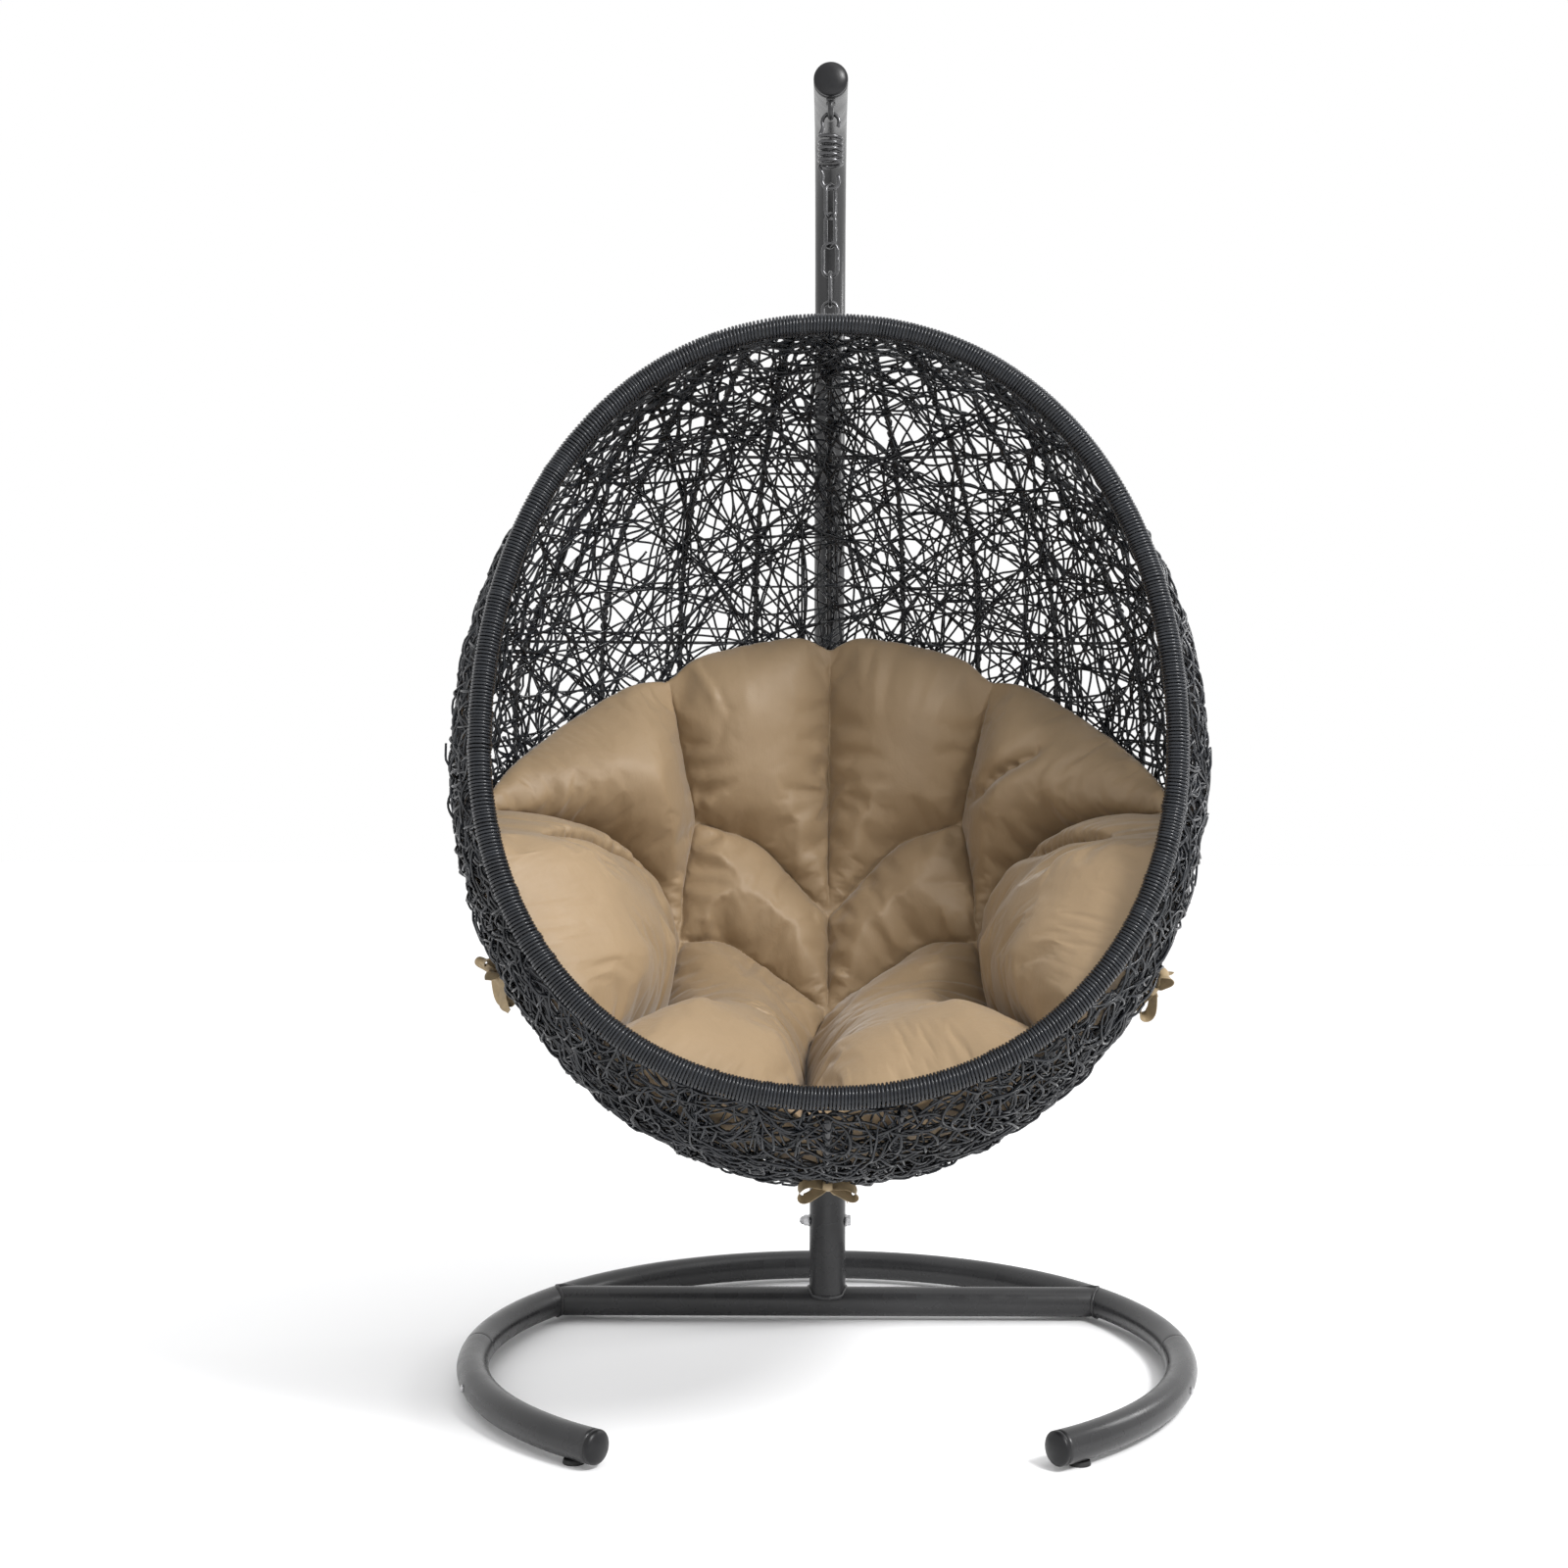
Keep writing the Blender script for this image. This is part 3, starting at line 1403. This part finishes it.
# ---------------------------------------------------------------- the cushion
@dataclass
class Cushion:
    """One stuffed pad, drawn down by seams into plump lobes."""

    egg: Egg
    spacing: float = 0.0085
    back_spacing: float = 0.030
    back_out: float = -0.0115
    crown: float = 0.130
    middle_crown: float = 0.092
    seam_thickness: float = 0.022
    fold_thickness: float = 0.074
    button_thickness: float = 0.016
    lobe_reach: float = 0.130
    fold_reach: float = 0.045
    edge_reach: float = 0.125
    gather: float = 0.0085
    chord_fill: float = 0.55
    inner_reach: float = 0.24
    tuft_fold: float = 0.0045
    drawn_rows: int = 3
    draw_reach: float = 0.045
    top_at_back: float = 0.183
    edge_slope: float = 0.25
    edge_drop: float = 0.62
    rim_tuck: float = 0.034
    scallop: float = 0.035
    metres_per_radian: float = 0.50
    spine_upper: tuple[float, float] = (0.0, 0.22)
    spine_middle: tuple[float, float] = (0.0, -0.142)
    spine_lower: tuple[float, float] = (0.0, -0.456)
    shoulder: tuple[float, float] = (0.43, 0.11)
    hip: tuple[float, float] = (0.48, -0.27)
    shoulder_edge: float = math.radians(43)
    hip_edge: float = math.radians(-5)
    knee_edge: float = math.radians(-52)
    swell_frames: int = 18
    pressure: float = 5.5
    slack: float = 0.02
    cover_mass: float = 0.20
    cover_stretch: float = 14
    cover_shear: float = 5
    cover_bending: float = 0.4
    most_swell: float = 0.022
    seam_gather_width: float = 0.046
    edge_gather_width: float = 0.050
    front_seed: int = 5
    back_seed: int = 6
    seam_seed: int = 31
    edge_seed: int = 32
    tuft_seed: int = 41

    def build(self) -> bpy.types.Object:
        """Makes the cushion.

        Returns:
            The finished pad.
        """
        piece = self.shaped()
        self.swell(piece)
        self.smooth_over(piece)
        dressed(piece, Finishes.COVER, "seat", "cushion")
        return piece

    def outline(self, count: int) -> Array:
        """The cushion's outer edge, as flat places on the bowl, anticlockwise from +X."""
        angles = circle(count)
        ways = np.stack((np.cos(angles), np.sin(angles)), axis=1)
        low, high = np.full(count, 0.3), np.full(count, 1.95)
        for _ in range(40):
            middle = (low + high) / 2
            points = self.egg.surface(self.egg.spread(ways * middle[:, None]), self.back_out)
            offset = points - self.egg.middle
            forward = self.egg.back_depth - offset[:, 1]
            top = self.top_at_back - self.edge_slope * forward - self.edge_drop * offset[:, 0] ** 2
            fits = (offset[:, 2] < top) & (self.egg.behind_rim(points) > self.rim_tuck)
            low, high = np.where(fits, middle, low), np.where(fits, high, middle)
        for _ in range(count // 40):
            low = (np.roll(low, 1) + 2 * low + np.roll(low, -1)) / 4
        ends = [self.shoulder_edge, self.hip_edge, self.knee_edge, math.pi / 2]
        ends += [math.pi - e for e in ends[:3]] + [-math.pi / 2]
        for end in ends:
            apart = np.angle(np.exp(1j * (angles - end)))
            low = low - self.scallop * np.exp(-((apart / 0.10) ** 2))
        return ways * low[:, None]

    def edge_spot(self, outline: Array, angle: float) -> Array:
        """The point of the outline at an angle round the bowl."""
        angles = np.arctan2(outline[:, 1], outline[:, 0])
        return outline[np.argmin(np.abs(np.angle(np.exp(1j * (angles - angle)))))]

    def seams(self, outline: Array) -> list[Array]:
        """Every seam of the top, as flat lines on the bowl.

        Args:
            outline: the cushion's edge.

        Returns:
            One line per seam.
        """
        top = self.edge_spot(outline, math.pi / 2)
        bottom = self.edge_spot(outline, math.radians(-94.5))
        spine = (self.spine_upper, self.spine_middle, self.spine_lower)
        made = [(top, *spine, (-0.07, -0.63), bottom)]
        for side in (-1, 1):
            mirror = np.array((side, 1.0))
            shoulder, hip = np.array(self.shoulder) * mirror, np.array(self.hip) * mirror
            angles = (self.shoulder_edge, self.hip_edge, self.knee_edge)
            ends = [self.edge_spot(outline, a if side > 0 else math.pi - a) for a in angles]
            made.append((ends[0], (0.50 * side, 0.33), shoulder))
            made.append((shoulder, (0.22 * side, 0.07), self.spine_middle))
            made.append((shoulder, (0.475 * side, -0.08), hip))
            level = [(1.14 * side, -0.04), (0.84 * side, 0.0), (0.58 * side, -0.10)]
            made.append((ends[1], *level, hip))
            made.append((hip, (0.325 * side, -0.24), (0.125 * side, -0.37), self.spine_lower))
            made.append((hip, (0.60 * side, -0.65), (0.70 * side, -0.87), ends[2]))
        step = self.spacing / self.metres_per_radian
        return [eased_line(line, step * 0.8) for line in made]

    def folds(self) -> list[Array]:
        """Softer creases that cross the big side lobes."""
        made = []
        for side, lift in ((-1, 0.0), (1, 0.05)):
            outer = [(1.50 * side, -0.42), (1.10 * side, -0.24)]
            made.append((*outer, (0.80 * side, -0.17 + lift), (0.56 * side, -0.27)))
        made.append(((0.80, 0.26), (0.62, 0.21), (0.46, 0.12)))
        made.append(((-0.36, 0.44), (-0.40, 0.28), (-0.43, 0.14)))
        return [eased_line(line, 0.02) for line in made]

    def filled(
        self, outline: Array, lines: Sequence[Array], spacing: float, seed: int
    ) -> tuple[Array, list[list[int]], set[int]]:
        """Triangles that fill the outline, in rows along its edge and along the lines.

        Args:
            outline: the closed edge.
            lines: lines that the triangles' sides follow.
            spacing: distance between points.
            seed: seed of the points' unevenness.

        Returns:
            The points, the triangles, and the numbers of the points on the lines.
        """
        random = np.random.default_rng(seed)
        step = spacing / self.metres_per_radian
        rows = self.drawn_rows if lines else 0
        fixed = np.concatenate([outline, *lines]) if lines else outline
        for row in range(1, rows + 1):
            beside = [line + s * row * step * square_to(line) for line in lines for s in (-1, 1)]
            beside = np.concatenate([outline + row * step * square_to(outline, True), *beside])
            beside = beside[inside_loop(beside, outline) & (nearest(beside, fixed) > step * 0.8)]
            fixed = np.concatenate((fixed, thinned(beside, step * 0.7)))
        heights = np.arange(-2.0, 2.0, step * 0.866)
        places = np.arange(-2.0, 2.0, step)
        grid = [(x + (i % 2) * step / 2, y) for i, y in enumerate(heights) for x in places]
        grid = np.array(grid)
        grid += random.normal(0, step * 0.08, grid.shape)
        grid = grid[inside_loop(grid, outline)]
        grid = grid[nearest(grid, fixed) > step * 0.7]
        points = [Vector(p) for p in np.concatenate((fixed, grid))]
        edges = [(i, (i + 1) % len(outline)) for i in range(len(outline))]
        start = len(outline)
        for line in lines:
            edges += [(start + i, start + i + 1) for i in range(len(line) - 1)]
            start += len(line)
        result = delaunay_2d_cdt(points, edges, [], 1, 1e-5)
        flat = np.array([tuple(p) for p in result[0]])
        seams = range(len(outline), start)
        held = {i for i, origins in enumerate(result[3]) if any(o in seams for o in origins)}
        return flat, [list(f) for f in result[2]], held

    def drawn_in(self, flat: Array, outline: Array, lines: Sequence[Array]) -> Array:
        """Flat places moved towards the nearest seam or edge, where the cover is steep."""
        reach = self.draw_reach / self.metres_per_radian
        gap, foot = np.full(len(flat), np.inf), flat.copy()
        for line in (*lines, looped(outline)):
            beside = Beside(flat, line)
            closer = beside.gap < gap
            gap = np.where(closer, beside.gap, gap)
            foot = np.where(closer[:, None], beside.foot, foot)
        share = np.clip(gap / reach, 0, 1)[:, None]
        return foot + (flat - foot) * share**0.9

    def thickness(self, flat: Array, outline: Array, lines: Sequence[Array]) -> Array:
        """How thick the stuffed pad is at flat places on the bowl."""
        scale = self.metres_per_radian
        seam, puckers = self.gathers(flat, lines, self.seam_gather_width, self.seam_seed)
        edge, edge_puckers = self.gathers(
            flat, [looped(outline)], self.edge_gather_width, self.edge_seed
        )
        fold = nearest(flat, np.concatenate(self.folds())) * scale
        buttons = [self.spine_upper, self.spine_middle, self.spine_lower]
        buttons += [(s * x, y) for s in (-1, 1) for x, y in (self.shoulder, self.hip)]
        button = nearest(flat, np.array(buttons)) * scale
        rise = self.seam_thickness - self.button_thickness
        floor = self.button_thickness + rise * smooth_step(button / 0.05)
        outer = smooth_step((np.linalg.norm(flat * (1.0, 0.8), axis=1) - 0.35) / 0.35)
        crown = self.middle_crown + (self.crown - self.middle_crown) * outer
        from_middle = np.linalg.norm(flat, axis=1) * scale - self.inner_reach
        inside = np.clip(edge - 0.02, 0, None)
        crown += self.chord_fill * np.clip(from_middle, 0, None) * inside / (2 * scale)
        dip = (crown - self.fold_thickness) * (1 - round_shoulder(fold / self.fold_reach)) * outer
        swell = np.sin(np.pi / 2 * np.clip(seam / self.lobe_reach, 0, 1)) ** 0.66
        lobe = floor + (crown - dip - floor) * swell
        lobe += self.gather * (puckers + edge_puckers) + self.tuft_folds(flat, np.array(buttons))
        return lobe * np.sin(np.pi / 2 * np.clip(edge / self.edge_reach, 0, 1)) ** 0.62

    def tuft_folds(self, flat: Array, buttons: Array) -> Array:
        """Folds that run out from the deepest points like spokes."""
        random = np.random.default_rng(self.tuft_seed)
        total = np.zeros(len(flat))
        for button in buttons:
            offset = flat - button
            reach = np.linalg.norm(offset, axis=1) * self.metres_per_radian
            angle = np.arctan2(offset[:, 1], offset[:, 0])
            spokes = sum(np.sin(n * angle + random.uniform(0, 7)) for n in (5, 8, 11)) / 2.2
            fade = np.exp(-((reach / 0.065) ** 2))
            total += self.tuft_fold * spokes * smooth_step(reach / 0.022) * fade
        return total

    def gathers(
        self, flat: Array, lines: Sequence[Array], width: float, seed: int
    ) -> tuple[Array, Array]:
        """The ridges that a gathered seam draws into the cloth on both its sides.

        Args:
            flat: flat places on the bowl.
            lines: the seams.
            width: typical distance between ridges, in metres.
            seed: where the ridges fall.

        Returns:
            Each place's distance from the nearest seam in metres, and the ridge height there.
        """
        random = np.random.default_rng(seed)
        found, ridges = np.full(len(flat), np.inf), np.zeros(len(flat))
        for line in lines:
            beside = Beside(flat, line)
            scale, left = self.metres_per_radian, beside.left
            gap, place = beside.gap * scale, beside.place * scale
            height = np.zeros(len(flat))
            for share in (0.8, 1.0, 1.45, 2.3):
                turns = 2 * np.pi / (width * share * random.uniform(0.9, 1.1))
                start = random.uniform(0, 7, 2)
                height += np.sin(turns * place + np.where(left, start[0], start[1])) / 2.4
            height *= 0.55 + 0.45 * np.sin(place / 0.075 + random.uniform(0, 7) + 2.0 * left)
            reach = 0.040 + 0.022 * np.sin(place / 0.055 + random.uniform(0, 7) + 3.0 * left)
            envelope = smooth_step(gap / 0.016) * np.exp(-((gap / reach) ** 2) / 2)
            closer = gap < found
            ridges = np.where(closer, height * envelope, ridges)
            found = np.minimum(found, gap)
        return found, ridges

    def shaped(self) -> bpy.types.Object:
        """The pad before it swells: a closed skin whose back lies on the bowl."""
        outline = resampled_loop(self.outline(720), self.spacing / self.metres_per_radian)
        lines = self.seams(outline)
        flat, triangles, held = self.filled(outline, lines, self.spacing, self.front_seed)
        flat = self.drawn_in(flat, outline, lines)
        thick = self.thickness(flat, outline, lines)
        egg = self.egg
        top = egg.surface(egg.spread(flat), self.back_out - thick)
        back_flat, back_triangles, _ = self.filled(outline, [], self.back_spacing, self.back_seed)
        back = egg.surface(egg.spread(back_flat), self.back_out)
        mesh = bpy.data.meshes.new("cushion_pad")
        made = bmesh.new()
        marks = made.verts.layers.int.new("held")
        front = [made.verts.new(p) for p in top]
        rear = [made.verts.new(p) for p in back]
        for triangle in triangles:
            made.faces.new([front[i] for i in triangle])
        for triangle in back_triangles:
            made.faces.new([rear[i] for i in reversed(triangle)])
        for i in held:
            front[i][marks] = 1
        for vertex in rear:
            vertex[marks] = 2
        edge_points = [v for v, t in zip(front, thick) if t < 1e-4]
        for vertex in edge_points:
            vertex[marks] = 2
        bmesh.ops.remove_doubles(made, verts=rear + edge_points, dist=0.0004)
        bmesh.ops.recalc_face_normals(made, faces=made.faces)
        made.to_mesh(mesh)
        made.free()
        piece = added("cushion_pad", mesh)
        group = piece.vertex_groups.new(name="held")
        marks = [a.value for a in mesh.attributes["held"].data]
        group.add([i for i, mark in enumerate(marks) if mark], 1.0, "REPLACE")
        log.info("cushion: %d points, %d held", len(marks), sum(1 for m in marks if m))
        return piece

    def swell(self, piece: bpy.types.Object) -> None:
        """Lets the slack cover fill out between its seams."""
        before = coordinates(piece.data)
        cloth = piece.modifiers.new("swell", "CLOTH")
        settings = cloth.settings
        settings.quality = 5
        settings.mass = self.cover_mass
        settings.tension_stiffness = self.cover_stretch
        settings.compression_stiffness = self.cover_stretch
        settings.shear_stiffness = self.cover_shear
        settings.bending_stiffness = self.cover_bending
        settings.air_damping = 3
        settings.use_pressure = True
        settings.uniform_pressure_force = self.pressure
        settings.shrink_min = -self.slack
        settings.vertex_group_mass = "held"
        settings.effector_weights.gravity = 0
        cloth.collision_settings.use_collision = False
        cloth.point_cache.frame_start = 1
        cloth.point_cache.frame_end = self.swell_frames
        scene = bpy.context.scene
        for number in range(1, self.swell_frames + 1):
            scene.frame_set(number)
        graph = bpy.context.evaluated_depsgraph_get()
        after = coordinates(piece.evaluated_get(graph).to_mesh())
        piece.modifiers.remove(cloth)
        scene.frame_set(1)
        move = after - before
        far = np.linalg.norm(move, axis=1, keepdims=True)
        move *= np.minimum(1, self.most_swell / np.maximum(far, 1e-9))
        piece.data.vertices.foreach_set("co", (before + move).astype(np.float32).ravel())
        piece.data.update()
        log.info("cushion swelled by up to %.1f mm", 1000 * far.max())

    def smooth_over(self, piece: bpy.types.Object) -> None:
        """Rounds the cover's facets."""
        finer = piece.modifiers.new("finer", "SUBSURF")
        finer.levels = 1
        finer.render_levels = 1
        piece.data.shade_smooth()


class Beside:
    """Where flat places lie beside a line."""

    def __init__(self, flat: Array, line: Array) -> None:
        """Finds the nearest part of the line for every place.

        Args:
            flat: the places, one per row.
            line: the line's points, in order.
        """
        ways = along(line)
        spot = np.empty(len(flat), int)
        for start in range(0, len(flat), 2000):
            apart = np.linalg.norm(flat[start : start + 2000, None, :] - line[None], axis=2)
            spot[start : start + 2000] = apart.argmin(axis=1)
        way, offset = ways[spot], flat - line[spot]
        spacing = np.linalg.norm(line[1] - line[0])
        forward = np.where(spot < len(line) - 1, spacing, 0.0)
        backward = np.where(spot > 0, -spacing, 0.0)
        slide = np.clip(np.sum(offset * way, axis=1), backward, forward)
        self.foot = line[spot] + way * slide[:, None]
        self.gap = np.linalg.norm(flat - self.foot, axis=1)
        self.place = lengths(line)[spot] + slide
        self.left = way[:, 0] * offset[:, 1] > way[:, 1] * offset[:, 0]


def eased_line(corners: Sequence[Sequence[float]], spacing: float) -> Array:
    """A line through corners, with the inner ones eased into curves.

    Args:
        corners: the places that the line is drawn towards.
        spacing: distance between its points.

    Returns:
        Points of the line, its two ends kept.
    """
    fine = resampled(np.array([tuple(c) for c in corners], float), 0.01)
    return resampled(smoothed(fine, 40), spacing)


def square_to(line: Array, closed: bool = False) -> Array:
    """The direction to the left of a flat line at each of its points."""
    ways = along(line, closed)
    return np.stack((-ways[:, 1], ways[:, 0]), axis=1)


def thinned(points: Array, spacing: float) -> Array:
    """Points of which none is nearer to an earlier one than the spacing."""
    kept_points: list[Array] = []
    cells: dict[tuple[int, int], list[Array]] = {}
    for point in points:
        cell = (int(point[0] // spacing), int(point[1] // spacing))
        around = [(cell[0] + i, cell[1] + j) for i in (-1, 0, 1) for j in (-1, 0, 1)]
        others = [other for c in around for other in cells.get(c, [])]
        if all(np.linalg.norm(point - other) >= spacing for other in others):
            cells.setdefault(cell, []).append(point)
            kept_points.append(point)
    return np.array(kept_points)


def resampled_loop(loop: Array, spacing: float) -> Array:
    """A closed flat line's points at an even spacing."""
    return resampled(looped(loop), spacing)[:-1]


def nearest(points: Array, others: Array) -> Array:
    """Each point's distance to the nearest of some others."""
    found = np.full(len(points), np.inf)
    for start in range(0, len(others), 200):
        apart = np.linalg.norm(points[:, None, :] - others[None, start : start + 200, :], axis=2)
        found = np.minimum(found, apart.min(axis=1))
    return found


def inside_loop(points: Array, loop: Array) -> Array:
    """Whether each flat point is inside a closed line."""
    inside = np.zeros(len(points), bool)
    for a, b in zip(loop, np.roll(loop, -1, axis=0)):
        crosses = (a[1] > points[:, 1]) != (b[1] > points[:, 1])
        with np.errstate(divide="ignore", invalid="ignore"):
            at = a[0] + (points[:, 1] - a[1]) * (b[0] - a[0]) / (b[1] - a[1])
        inside ^= crosses & (points[:, 0] < at)
    return inside


def coordinates(mesh: bpy.types.Mesh) -> Array:
    """A mesh's points, one per row."""
    flat = np.empty(len(mesh.vertices) * 3, np.float32)
    mesh.vertices.foreach_get("co", flat)
    return flat.reshape(-1, 3).astype(float)


# ---------------------------------------------------------------- the ties
@dataclass
class Tie:
    """A ribbon tied in a bow through the weave."""

    egg: Egg
    node: str
    turn: float
    width: float = 0.019
    thickness: float = 0.0009
    loop: float = 0.038
    tail: float = 0.044
    open: float = 0.011
    sag: float = 0.010
    flop: float = 0.9
    lift: float = 0.010
    tail_spread: float = 0.62
    tail_drop: float = 0.75
    tail_wave: float = 0.004
    knot_half_width: float = 0.0085
    knot_half_height: float = 0.0065
    knot_share: float = 0.7
    seed: int = 3

    def build(self) -> bpy.types.Object:
        """Makes the bow.

        Returns:
            The ribbon.
        """
        way = self.egg.ways_to(middle_of(self.node)[None])[0]
        out = self.egg.normal(way[None])[0]
        level = unit(np.cross(UP, out)) if abs(out @ UP) < 0.9 else RIGHT
        level = unit(level * math.cos(self.turn) + np.cross(out, level) * math.sin(self.turn))
        across = np.cross(out, level)
        wide = across * math.cos(self.flop) + out * math.sin(self.flop)
        centre = self.egg.surface(way[None], self.lift + 0.006)[0]
        random = np.random.default_rng(self.seed)
        skins, total = [], 0.0
        for side in (-1, 1):
            t = np.linspace(0, 1, 40)
            reach = self.loop * np.sin(np.pi * t) ** 0.8
            puff = self.open * np.sin(2 * np.pi * t) * random.uniform(0.8, 1.2)
            path = centre + side * level * reach[:, None] + out * (0.002 + puff)[:, None] * 0.8
            path = path + across * (0.010 * np.sin(np.pi * t) * random.uniform(-1, 1))[:, None]
            path = path - UP * (self.sag * (reach / self.loop) ** 2)[:, None]
            skins.append(self.ribbon(path, wide, out))
            total += lengths(path)[-1]
            t = np.linspace(0, 1, 24)
            drop = self.tail * t * random.uniform(0.85, 1.15)
            wave = self.tail_wave * np.sin(2.5 * np.pi * t + random.uniform(0, 3))
            path = centre + side * level * (drop * self.tail_spread)[:, None]
            path = path - across * (drop * self.tail_drop)[:, None]
            path = path + out * (wave + 0.002)[:, None]
            path = path - UP * (self.sag * 1.4 * t**2)[:, None]
            skins.append(self.ribbon(path, unit(wide + side * level * 0.5), out))
            total += lengths(path)[-1]
        around = np.linspace(-math.pi, math.pi, 28)
        knot = centre + across * (self.knot_half_width * np.sin(around))[:, None]
        knot = knot + out * (0.001 + self.knot_half_height * np.cos(around))[:, None]
        skins.append(self.ribbon(knot, level, out, self.knot_share))
        total += lengths(knot)[-1]
        name, skin = self.node.replace("tie_", "ribbon_"), Skin.joined(skins)
        piece = shown(name, skin, Finishes.RIBBON, "seat", self.node, crease=60)
        return piece

    def ribbon(self, path: Array, wide: Array, out: Array, share: float = 1.0) -> Skin:
        """A flat band along a path.

        Args:
            path: its middle line.
            wide: the direction of its width.
            out: the direction away from the basket.
            share: its width as a share of the ribbon's.

        Returns:
            The band's skin.
        """
        ways = along(path)
        wide = np.broadcast_to(wide, path.shape)
        wide = unit(wide - np.sum(wide * ways, axis=1, keepdims=True) * ways)
        thick = np.cross(ways, wide)
        distance = lengths(path)
        to_end = np.minimum(distance, distance[-1] - distance)
        pinch = 0.45 + 0.55 * smooth_step(to_end / 0.012)
        pinch = pinch if share == 1.0 else np.ones(len(path))
        w, h = self.width / 2 * share, self.thickness / 2
        under = ((-1, -1), (-0.5, -1.3), (0, -1.4), (0.5, -1.3), (1, -1))
        section = (*under, (1, 1), (0.5, 0.7), (0, 0.6), (-0.5, 0.7), (-1, 1))
        rows = [path + wide * (w * a * pinch)[:, None] + thick * h * b for a, b in section]
        points = np.stack(rows, axis=1)
        ends = [p.mean(1, keepdims=True).repeat(len(section), 1) for p in (points[:1], points[-1:])]
        points = np.concatenate((ends[0], points, ends[1]))
        return Skin(points.reshape(-1, 3), grid_faces(len(points), len(section), False, True))


# ---------------------------------------------------------------- the studio
@dataclass
class Studio:
    """The floor, the lights and the camera."""

    floor_half: float = 9.0
    camera: Point = (0.0, -3.652, 1.105)
    roll: float = math.radians(-0.17)
    lens: float = 54.9
    shift: tuple[float, float] = (-0.0288, -0.0812)
    sky: float = 1.0
    daylight: float = 0.6
    daylight_spread: float = math.radians(50)
    daylight_from: Point = (1.0, -0.9, 2.2)
    aim: Point = (0.0, -0.2, 0.9)
    key: float = 165.0
    key_size: float = 0.9
    key_place: Point = (2.3, -2.6, 3.4)
    edge_light: float = 16.0
    edge_size: float = 0.7
    edge_place: Point = (2.6, 1.2, 1.9)

    def build(self) -> None:
        """Places the camera, then the lights and the floor."""
        self.place_camera()
        self.light_sky()
        self.light_evenly()
        self.place_light("key_light", self.key_place, self.key_size, self.key)
        self.place_light("edge_light", self.edge_place, self.edge_size, self.edge_light)
        self.lay_floor()

    def place_camera(self) -> None:
        """A level camera in front of the chair."""
        data = bpy.data.cameras.new("camera")
        data.lens = self.lens
        data.sensor_width = 36
        data.shift_x, data.shift_y = self.shift
        camera = added("camera", data)
        camera.location = self.camera
        camera.rotation_euler = (math.pi / 2, self.roll, 0)
        bpy.context.scene.camera = camera

    def light_sky(self) -> None:
        """An even white surround."""
        world = bpy.data.worlds.new("studio")
        world.use_nodes = True
        background = world.node_tree.nodes["Background"]
        background.inputs["Color"].default_value = (1, 1, 1, 1)
        background.inputs["Strength"].default_value = self.sky
        bpy.context.scene.world = world
        bpy.context.scene.view_settings.view_transform = "Standard"

    def light_evenly(self) -> None:
        """Soft light from high on the right, the same all over the floor."""
        data = bpy.data.lights.new("daylight", "SUN")
        data.energy = self.daylight
        data.angle = self.daylight_spread
        light = added("daylight", data)
        light.rotation_euler = Vector(self.daylight_from).to_track_quat("Z", "Y").to_euler()

    def place_light(self, name: str, place: Point, size: float, power: float) -> None:
        """A square soft light aimed at the middle of the basket.

        Args:
            name: the light's name.
            place: where it stands.
            size: its width.
            power: its power in watts.
        """
        data = bpy.data.lights.new(name, "AREA")
        data.size = size
        data.energy = power
        light = added(name, data)
        light.location = place
        aim = Vector(self.aim) - Vector(place)
        light.rotation_euler = aim.to_track_quat("-Z", "Y").to_euler()

    def lay_floor(self) -> None:
        """A wide pale floor."""
        mesh = bpy.data.meshes.new("floor")
        s = self.floor_half
        mesh.from_pydata([(-s, -s, 0), (s, -s, 0), (s, s, 0), (-s, s, 0)], [], [(0, 1, 2, 3)])
        mesh.materials.append(Finishes.FLOOR.value.material())
        floor = added("floor", mesh)


def corners(box: tuple[Vector, Vector]) -> list[list[float]]:
    """A box's two corners as plain lists."""
    return [list(corner) for corner in box]


def main() -> None:
    """Builds the chair and its studio, and notes its size."""
    logging.basicConfig(level=logging.INFO, format="%(message)s")
    egg = Egg()
    Studio().build()
    Stand().build()
    Hanger(egg).build()
    Basket(egg).build()
    Cushion(egg).build()
    Tie(egg, "tie_left", math.radians(70), seed=3).build()
    Tie(egg, "tie_right", math.radians(115), seed=4).build()
    Tie(egg, "tie_bottom", math.radians(0), seed=5).build()


if __name__ == "__main__":
    main()
